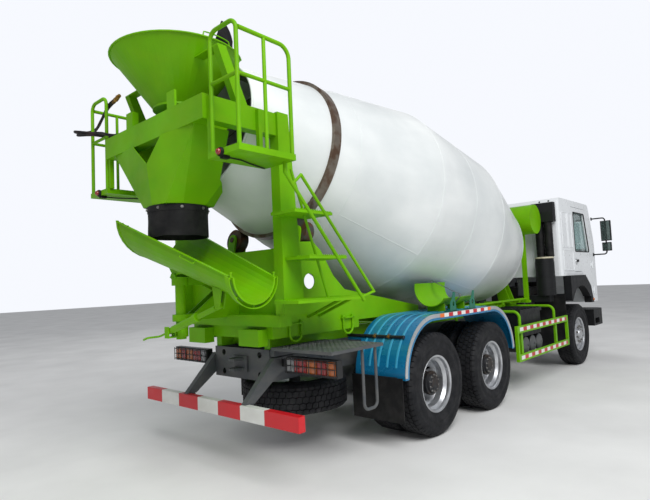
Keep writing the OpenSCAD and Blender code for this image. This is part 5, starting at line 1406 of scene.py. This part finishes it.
bellows = [revolve(bellows_profile(), mm(INTAKE["x"] + INTAKE["pipe"], INTAKE["y"] + dy, 0))
           for dy in (-INTAKE["pipe"], INTAKE["pipe"])]
new_piece("intake_bellows", bellows, black_rubber, smooth=50)
filter_at = mm(INTAKE["x"], INTAKE["y"], 0)
clamp_band = [revolve(BAND_SECTION, filter_at, Z_AXIS, 64),
              bolt(filter_at + Vector((-0.154, -0.02, 1.936)), (-1, 0, 0), 0.008, 0.02)]
new_piece("filter_clamp_band", clamp_band, cream_paint, smooth=40)
filter_rings = [ring(filter_at + Vector((0, 0, z)), Z_AXIS, 0.155, 0.004, 64, 6) for z in FILTER_RINGS_Z]
louvres = [block((LOUVRE["x"][0], LOUVRE["y"][0], z), (LOUVRE["x"][1], LOUVRE["y"][1], z + LOUVRE["height"]))
           for z in LOUVRE["z"]]
new_piece("filter_rings", filter_rings + louvres, black_plastic, smooth=40, bevel=0.0015)
print("filter rings:", len(filter_rings), "louvres:", len(louvres))

# %% [markdown]
# The chute has small fittings: a wire handle below its near rim, bolts along both rims at the top, and at
# its low end a pin on each side and a lip that an extension chute hooks on. They ride on the chute, so they
# swing with it. The chute tapers, so one function gives places on its rims and another on its half round,
# and the fittings are placed from those.

# %% Chute fittings
CHUTE_X = -2330
TROUGH_TOP, TROUGH_LOW = (500, 2330, 345), (-1050, 1730, 200)
HOOK_LIP = dict(y0=-1046, y1=-998, inner=0.036, outer=0.042, pegs=(4, 45, 90, 135, 176))
HOOK_PIN = dict(y=-1028, foot=(-6, 10), neck=0.030, top=0.040, radius=0.008, head=0.012)
RIM_BOLTS_Y = (300, 380, 460)
HANDLE = [(-455, -8, 0), (-455, -34, 30), (-625, -34, 30), (-625, -8, 0)]


def trough_rim(y, side, lift=0.0, out=0.0):
    """A place on the chute's rim: side is 1 for the rim towards the drum."""
    t = (y - TROUGH_LOW[0]) / (TROUGH_TOP[0] - TROUGH_LOW[0])
    height = TROUGH_LOW[1] + (TROUGH_TOP[1] - TROUGH_LOW[1]) * t
    half = TROUGH_LOW[2] + (TROUGH_TOP[2] - TROUGH_LOW[2]) * t
    return mm(CHUTE_X + side * (half + out), y, height + lift)


def trough_place(y, angle, out):
    """A place on the half round section of the chute: the angle is 0 at the rim towards the drum."""
    half = (trough_rim(y, 1) - trough_rim(y, -1)).length / 2 + out
    middle = (trough_rim(y, 1) + trough_rim(y, -1)) / 2
    return middle + Vector((math.cos(angle) * half, 0, -math.sin(angle) * half))


def hook_lip(steps=36):
    """The lip round the chute's low end, held off the plate by pegs."""
    lip = HOOK_LIP
    corners = flat_section(lip["y0"], lip["y1"], lip["inner"], lip["outer"])
    rows = [[trough_place(y, angle, out) for y, out in corners] for angle in spaced(0, math.pi, steps)]
    middle = (lip["y0"] + lip["y1"]) / 2
    pegs = [bar(trough_place(middle, a, 0.004), trough_place(middle, a, lip["inner"] + 0.002), 0.009)
            for a in map(math.radians, lip["pegs"])]
    return [loft(rows, caps=(0, -1))] + pegs


handle = [trough_rim(y, -1, lift, out) for y, lift, out in HANDLE]
chute_bits = [tube(rounded(handle, 0.012), 0.0045, 8)] + hook_lip()
for side in (1, -1):
    foot = trough_rim(HOOK_PIN["y"], side, *HOOK_PIN["foot"])
    neck, top = foot + Vector((0, 0, HOOK_PIN["neck"])), foot + Vector((0, 0, HOOK_PIN["top"]))
    chute_bits.append(bar(foot, foot + Vector((0, 0, 0.034)), HOOK_PIN["radius"], 16))
    chute_bits.append(bar(neck, top, HOOK_PIN["head"], 16))
    chute_bits += [bolt(trough_rim(y, side, 0, 10), Z_AXIS, 0.009, 0.009) for y in RIM_BOLTS_Y]
new_piece("chute_fittings", chute_bits, green_paint, body_of_node["chute"], smooth=40)
print("chute fittings:", len(chute_bits))

# %% [markdown]
# A wire handle stands on the rim of the charging hopper. The spare chute lies on two drilled brackets above
# the mudguard, and a bright steel strap holds it down. The oval hole is bridged to the plate's edge by
# quads.

# %% Funnel handle, spare chute's brackets and strap
HOPPER_RIM = dict(x=-2300, radius=592, z=3792)
SPARE_CHUTE = dict(y=-1000, z=1550, radius=210, turn=25, brackets=(415, 885), strap=640, plate_y=-1222)
BRACKET = dict(hole=(8, 1365), hole_width=20, hole_height=30, thick=8)
BRACKET_OUTLINE = [(-75, 1282), (75, 1282), (48, 1420), (62, 1500), (20, 1500), (-20, 1420), (-62, 1380)]
BRACKET_FOOT = dict(half=75, low=1281, high=1288, width=92, bolts=(-55, 55), bolt_y=42)


def rim_place(degrees, lift, inset=0.0):
    angle, r = math.radians(degrees), HOPPER_RIM["radius"] - inset
    return mm(HOPPER_RIM["x"] + r * math.cos(angle), r * math.sin(angle), HOPPER_RIM["z"] + lift)


def spare_chute_strap(width=34, proud=2.0, steps=28):
    """A band round the outside of the half pipe, drawn straight across its open side."""
    spare = SPARE_CHUTE
    start = math.radians(180 + spare["turn"])
    section = flat_section(0, width, spare["radius"] - 0.5, spare["radius"] + proud)
    rows = [[mm(spare["strap"] + dx, spare["y"] + r * math.cos(angle), spare["z"] + r * math.sin(angle))
             for dx, r in section] for angle in spaced(start, start + math.pi, steps)]
    return loft(rows, closed=True)


def drilled_plate(x):
    """A bracket's plate at place x along the truck, with its oval hole."""
    shape = bmesh.new()
    hole_x, hole_z = x + BRACKET["hole"][0], BRACKET["hole"][1]
    corners = []
    for (xa, za), (xb, zb) in zip(BRACKET_OUTLINE, BRACKET_OUTLINE[1:] + BRACKET_OUTLINE[:1]):
        corners += [(x + xa + (xb - xa) * k / 5, za + (zb - za) * k / 5) for k in range(5)]
    sides = []
    for y in (SPARE_CHUTE["plate_y"], SPARE_CHUTE["plate_y"] + BRACKET["thick"]):
        rim, inner = [], []
        for a, z in corners:
            bearing = math.atan2(z - hole_z, a - hole_x)
            rim.append(shape.verts.new(mm(a, y, z)))
            inner.append(shape.verts.new(mm(hole_x + BRACKET["hole_width"] * math.cos(bearing), y,
                                            hole_z + BRACKET["hole_height"] * math.sin(bearing))))
        sides.append((rim, inner))
    for k in range(len(corners)):
        n = (k + 1) % len(corners)
        for rim, inner in sides:
            shape.faces.new((rim[k], rim[n], inner[n], inner[k]))
        for which in (0, 1):
            shape.faces.new((sides[0][which][k], sides[0][which][n], sides[1][which][n], sides[1][which][k]))
    bmesh.ops.recalc_face_normals(shape, faces=shape.faces)
    return shape


bend = [rim_place(a, 42, 4) for a in range(-98, -76, 3)]
wire = [rim_place(-101, 0), rim_place(-100, 38)] + bend + [rim_place(-74, 36), rim_place(-73, 0)]
new_piece("funnel_handle", [tube(wire, 0.006, 10)], green_paint, smooth=40)
brackets = []
for x in SPARE_CHUTE["brackets"]:
    brackets.append(drilled_plate(x))
    foot, y = BRACKET_FOOT, SPARE_CHUTE["plate_y"]
    half = foot["half"]
    brackets.append(block((x - half, y, foot["low"]), (x + half, y + foot["width"], foot["high"])))
    for dx in foot["bolts"]:
        brackets.append(bolt(mm(x + dx, y + foot["bolt_y"], foot["high"]), Z_AXIS, 0.011, 0.010))
new_piece("spare_chute_brackets", brackets, teal_paint, smooth=35)
new_piece("spare_chute_strap", [spare_chute_strap()], bare_steel, smooth=40)
print("bracket parts:", len(brackets))

# %% [markdown]
# The cab's glass sits in black rubber, and its sheet is stiffened by pressed ribs: tall frames behind the
# door and upright ribs on the rear wall. Each strip is a thin tube half sunk in the sheet, which shades as
# a pressed edge.

# %% Window rubbers and pressed ribs
CAB = dict(front_x=5175, nose_x=6675, back_x=4450)
WINDOW = [(55, 2050), (910, 2050), (705, 2780), (55, 2780)]
SIDE_RIBS = [(-600, -330, 2120, 2740), (-270, -80, 2120, 2740), (-600, -80, 1700, 2060)]
BACK_RIBS = dict(places=range(-900, 901, 300), half=70, low=1750, high=2820)
GRIP = dict(x=(14, 152), y=(1151, 1178), z=(1852, 1897), lock=(84, 1149, 1815))


def side_loop(outline, side, radius, y=1150, corner=0.03):
    """A closed strip on the cab's side. Its outline lists places ahead of the front axle, and heights."""
    places = [mm(CAB["front_x"] + x, side * y, z) for x, z in outline]
    middle = (places[0] + places[-1]) / 2
    return tube(rounded([middle] + places + [middle], corner)[:-1], radius, 8, closed=True)


for side, hand in ((1, "left"), (-1, "right")):
    body = body_of_node[f"door_{hand}"]
    rubber_loop = side_loop(WINDOW, side, 0.010)
    new_piece(f"window_rubber_{hand}", [rubber_loop], black_rubber, body, smooth=60)
    low, high = [(CAB["front_x"] + GRIP["x"][k], side * GRIP["y"][k], GRIP["z"][k]) for k in (0, 1)]
    lock_x, lock_y, lock_z = GRIP["lock"]
    lock = dome(mm(CAB["front_x"] + lock_x, side * lock_y, lock_z), (0, side, 0), 0.014, 0.005)
    grip = [block(low, high), lock]
    new_piece(f"door_grip_{hand}", grip, black_plastic, body, bevel=0.006)

ribs = []
for side in (1, -1):
    for x0, x1, z0, z1 in SIDE_RIBS:
        ribs.append(side_loop([(x0, z0), (x1, z0), (x1, z1), (x0, z1)], side, 0.012, 1146, 0.045))
for y in BACK_RIBS["places"]:
    ya, yb, low, high = y - BACK_RIBS["half"], y + BACK_RIBS["half"], BACK_RIBS["low"], BACK_RIBS["high"]
    route = [mm(CAB["back_x"], a, z) for a, z in ((ya, low), (ya, high), (yb, high), (yb, low))]
    ribs.append(tube(rounded(route, 0.05), 0.007, 8))
new_piece("cab_ribs", ribs, cab_paint, body_of_node["cab_shell"], smooth=60)
print("cab ribs:", len(ribs))

# %% [markdown]
# The windscreen leans back, so places on it are given in its own plane: up from its lower edge, across, and
# off the glass. Its rubber and the three wipers are one black piece. That is simpler than turning finished
# pieces into place.

# %% Windscreen rubber and wipers
SCREEN = dict(low=(6560, 1980), top=(6250, 2830), inset=70, half=1000)
SCREEN_LONG = math.dist(SCREEN["low"], SCREEN["top"])
WIPERS_Y = (-560, 0, 560)
ARM_END, BLADE_ENDS = (430, 230, 6), ((190, 110, 4), (640, 330, 4))


def screen_place(t, y, lift=0.0):
    """A place on the windscreen: t in millimetres up from its lower edge."""
    (x0, z0), (x1, z1) = SCREEN["low"], SCREEN["top"]
    ux, uz = (x1 - x0) / SCREEN_LONG, (z1 - z0) / SCREEN_LONG
    return mm(x0 + ux * t + uz * lift, y, z0 + uz * t - ux * lift)


t0, t1, half = SCREEN["inset"], SCREEN_LONG - SCREEN["inset"], SCREEN["half"]
screen_corners = [(t0, 0), (t0, half), (t1, half), (t1, -half), (t0, -half), (t0, 0)]
frame_line = [screen_place(t, y) for t, y in screen_corners]
dark_bits = [tube(rounded(frame_line, 0.06)[:-1], 0.013, 8, closed=True)]
for y in WIPERS_Y:
    hub = screen_place(-20, y, 14)
    arm_end, blade_low, blade_high = [screen_place(t, y + dy, lift) for t, dy, lift in (ARM_END, *BLADE_ENDS)]
    dark_bits += [bar(hub, arm_end, 0.007, 8, 0.004), bar(blade_low, blade_high, 0.006, 8),
                  bar(hub - Vector((0.03, 0, 0)), hub + Vector((0.012, 0, 0)), 0.018, 16)]
new_piece("screen_rubber_and_wipers", dark_bits, black_rubber, body_of_node["cab_shell"], smooth=60)
print("wipers:", len(WIPERS_Y))

# %% [markdown]
# Each mirror gets a glossy face, which reflects the ground and so looks dark. Amber lamps sit on the wheel
# arches and at the roof's front edge, and four plugs close the crane holes high on the rear wall. The
# headlamps have two bowls each behind the lens. All of them are thin shapes on the sheet that carries them,
# so none needs more than a block, a dome or a ring.

# %% Mirror faces, side lamps and roof lamps
MIRROR_X = 6350
MIRROR_GLASS = [(2275, 2645, 1334, 1486), (2073, 2217, 1343, 1477)]
HEADLAMP = dict(places=(800, 915), z=780)
ARCH_LAMP = (5905, 1220, 1135)
ROOF_LAMPS = dict(x=6170, z=2968, places=(-900, -450, 0, 450, 900))
CRANE_PLUGS = dict(x=4463, z=2942, places=(-991, -835, 835, 991))

faces, glossy, ambers = [], [], []
for side in (1, -1):
    for z0, z1, ya, yb in MIRROR_GLASS:
        faces.append(block((MIRROR_X - 2.5, side * ya, z0), (MIRROR_X + 1, side * yb, z1)))
    lamp_x, lamp_y, lamp_z = ARCH_LAMP
    ambers.append(dome(mm(lamp_x, side * lamp_y, lamp_z), (0, side, 0), 0.030, 0.018, 24, 5))
    for y in HEADLAMP["places"]:
        at = mm(CAB["nose_x"] - 4, side * y, HEADLAMP["z"])
        glossy += [ring(at, (1, 0, 0), 0.048, 0.006, 40, 8), dome(at, (1, 0, 0), 0.040, 0.006, 32, 4)]
for y in ROOF_LAMPS["places"]:
    ambers.append(dome(mm(ROOF_LAMPS["x"], y, ROOF_LAMPS["z"]), (0.5, 0, 0.85), 0.026, 0.020, 20, 5))
plugs = [dome(mm(CRANE_PLUGS["x"], y, CRANE_PLUGS["z"]), (-1, 0, 0.5), 0.016, 0.005, 20, 4)
         for y in CRANE_PLUGS["places"]]
new_piece("mirror_faces", faces, mirror_face, body_of_node["mirrors"], bevel=0.010)
new_piece("cab_amber_lamps", ambers, lamp_amber, body_of_node["cab_shell"], smooth=50)
new_piece("crane_plugs", plugs, black_rubber, body_of_node["cab_shell"], smooth=50)
new_piece("headlamp_bowls", glossy, mirror_face, body_of_node["headlamps"], smooth=50)
print("mirror faces:", len(faces), "amber lamps:", len(ambers))

# %% [markdown]
# A studio stands round the truck: a pale floor that takes its shadow, a white surround, a large soft lamp
# above the camera's side and a weaker one from behind. The surround is white where the camera sees it,
# directly or through glass, and dimmer as a light, so the background stays white while the paint keeps its
# colour.

# %% Stage and lights
FLOOR_REACH = 60
SKY_COLOUR, SKY_LIGHT = (0.93, 0.95, 1.0, 1.0), 0.44
LAMP_TARGET, LAMP_SIZE = Vector((0, 0, 1.5)), 9


def stage_floor():
    material, tree, shader, coordinates = finish_nodes("pale_floor")
    shades = [(0.3, srgb(226, 226, 224)), (0.7, srgb(240, 240, 238))]
    base = ramp(tree, noise_at(tree, coordinates, 0.8, 5.0), shades)
    feed(tree, shader, {"Base Color": base, "Roughness": 0.9})
    mesh = bpy.data.meshes.new("floor")
    corners = [(x * FLOOR_REACH, y * FLOOR_REACH, 0) for x, y in ((-1, -1), (1, -1), (1, 1), (-1, 1))]
    mesh.from_pydata(corners, [], [(0, 1, 2, 3)])
    mesh.materials.append(material)
    floor = bpy.data.objects.new("floor", mesh)
    scene.collection.objects.link(floor)


def surround():
    world = bpy.data.worlds.new("surround")
    world.use_nodes = True
    scene.world = world
    tree = world.node_tree
    camera_ray = add_node(tree, "ShaderNodeLightPath", {}, "Is Camera Ray")
    through_glass = camera_ray.node.outputs["Is Transmission Ray"]
    seen = add_node(tree, "ShaderNodeMath", {0: camera_ray, 1: through_glass}, 0, operation="MAXIMUM")
    inputs = {"To Min": SKY_LIGHT, "To Max": 1.0, "Value": seen}
    strength = add_node(tree, "ShaderNodeMapRange", inputs, "Result")
    feed(tree, tree.nodes["Background"], {"Color": SKY_COLOUR, "Strength": strength})


def soft_lamp(name, at, power):
    data = bpy.data.lights.new(name, "AREA")
    data.shape, data.size, data.energy = "DISK", LAMP_SIZE, power
    lamp = bpy.data.objects.new(name, data)
    turn = (Vector(at) - LAMP_TARGET).to_track_quat("Z", "Y").to_matrix().to_4x4()
    lamp.matrix_world = Matrix.Translation(at) @ turn
    scene.collection.objects.link(lamp)


stage_floor()
surround()
soft_lamp("key", (-7, -9, 11), 1500)
soft_lamp("fill", (8, 10, 9), 250)
print("stage ready")
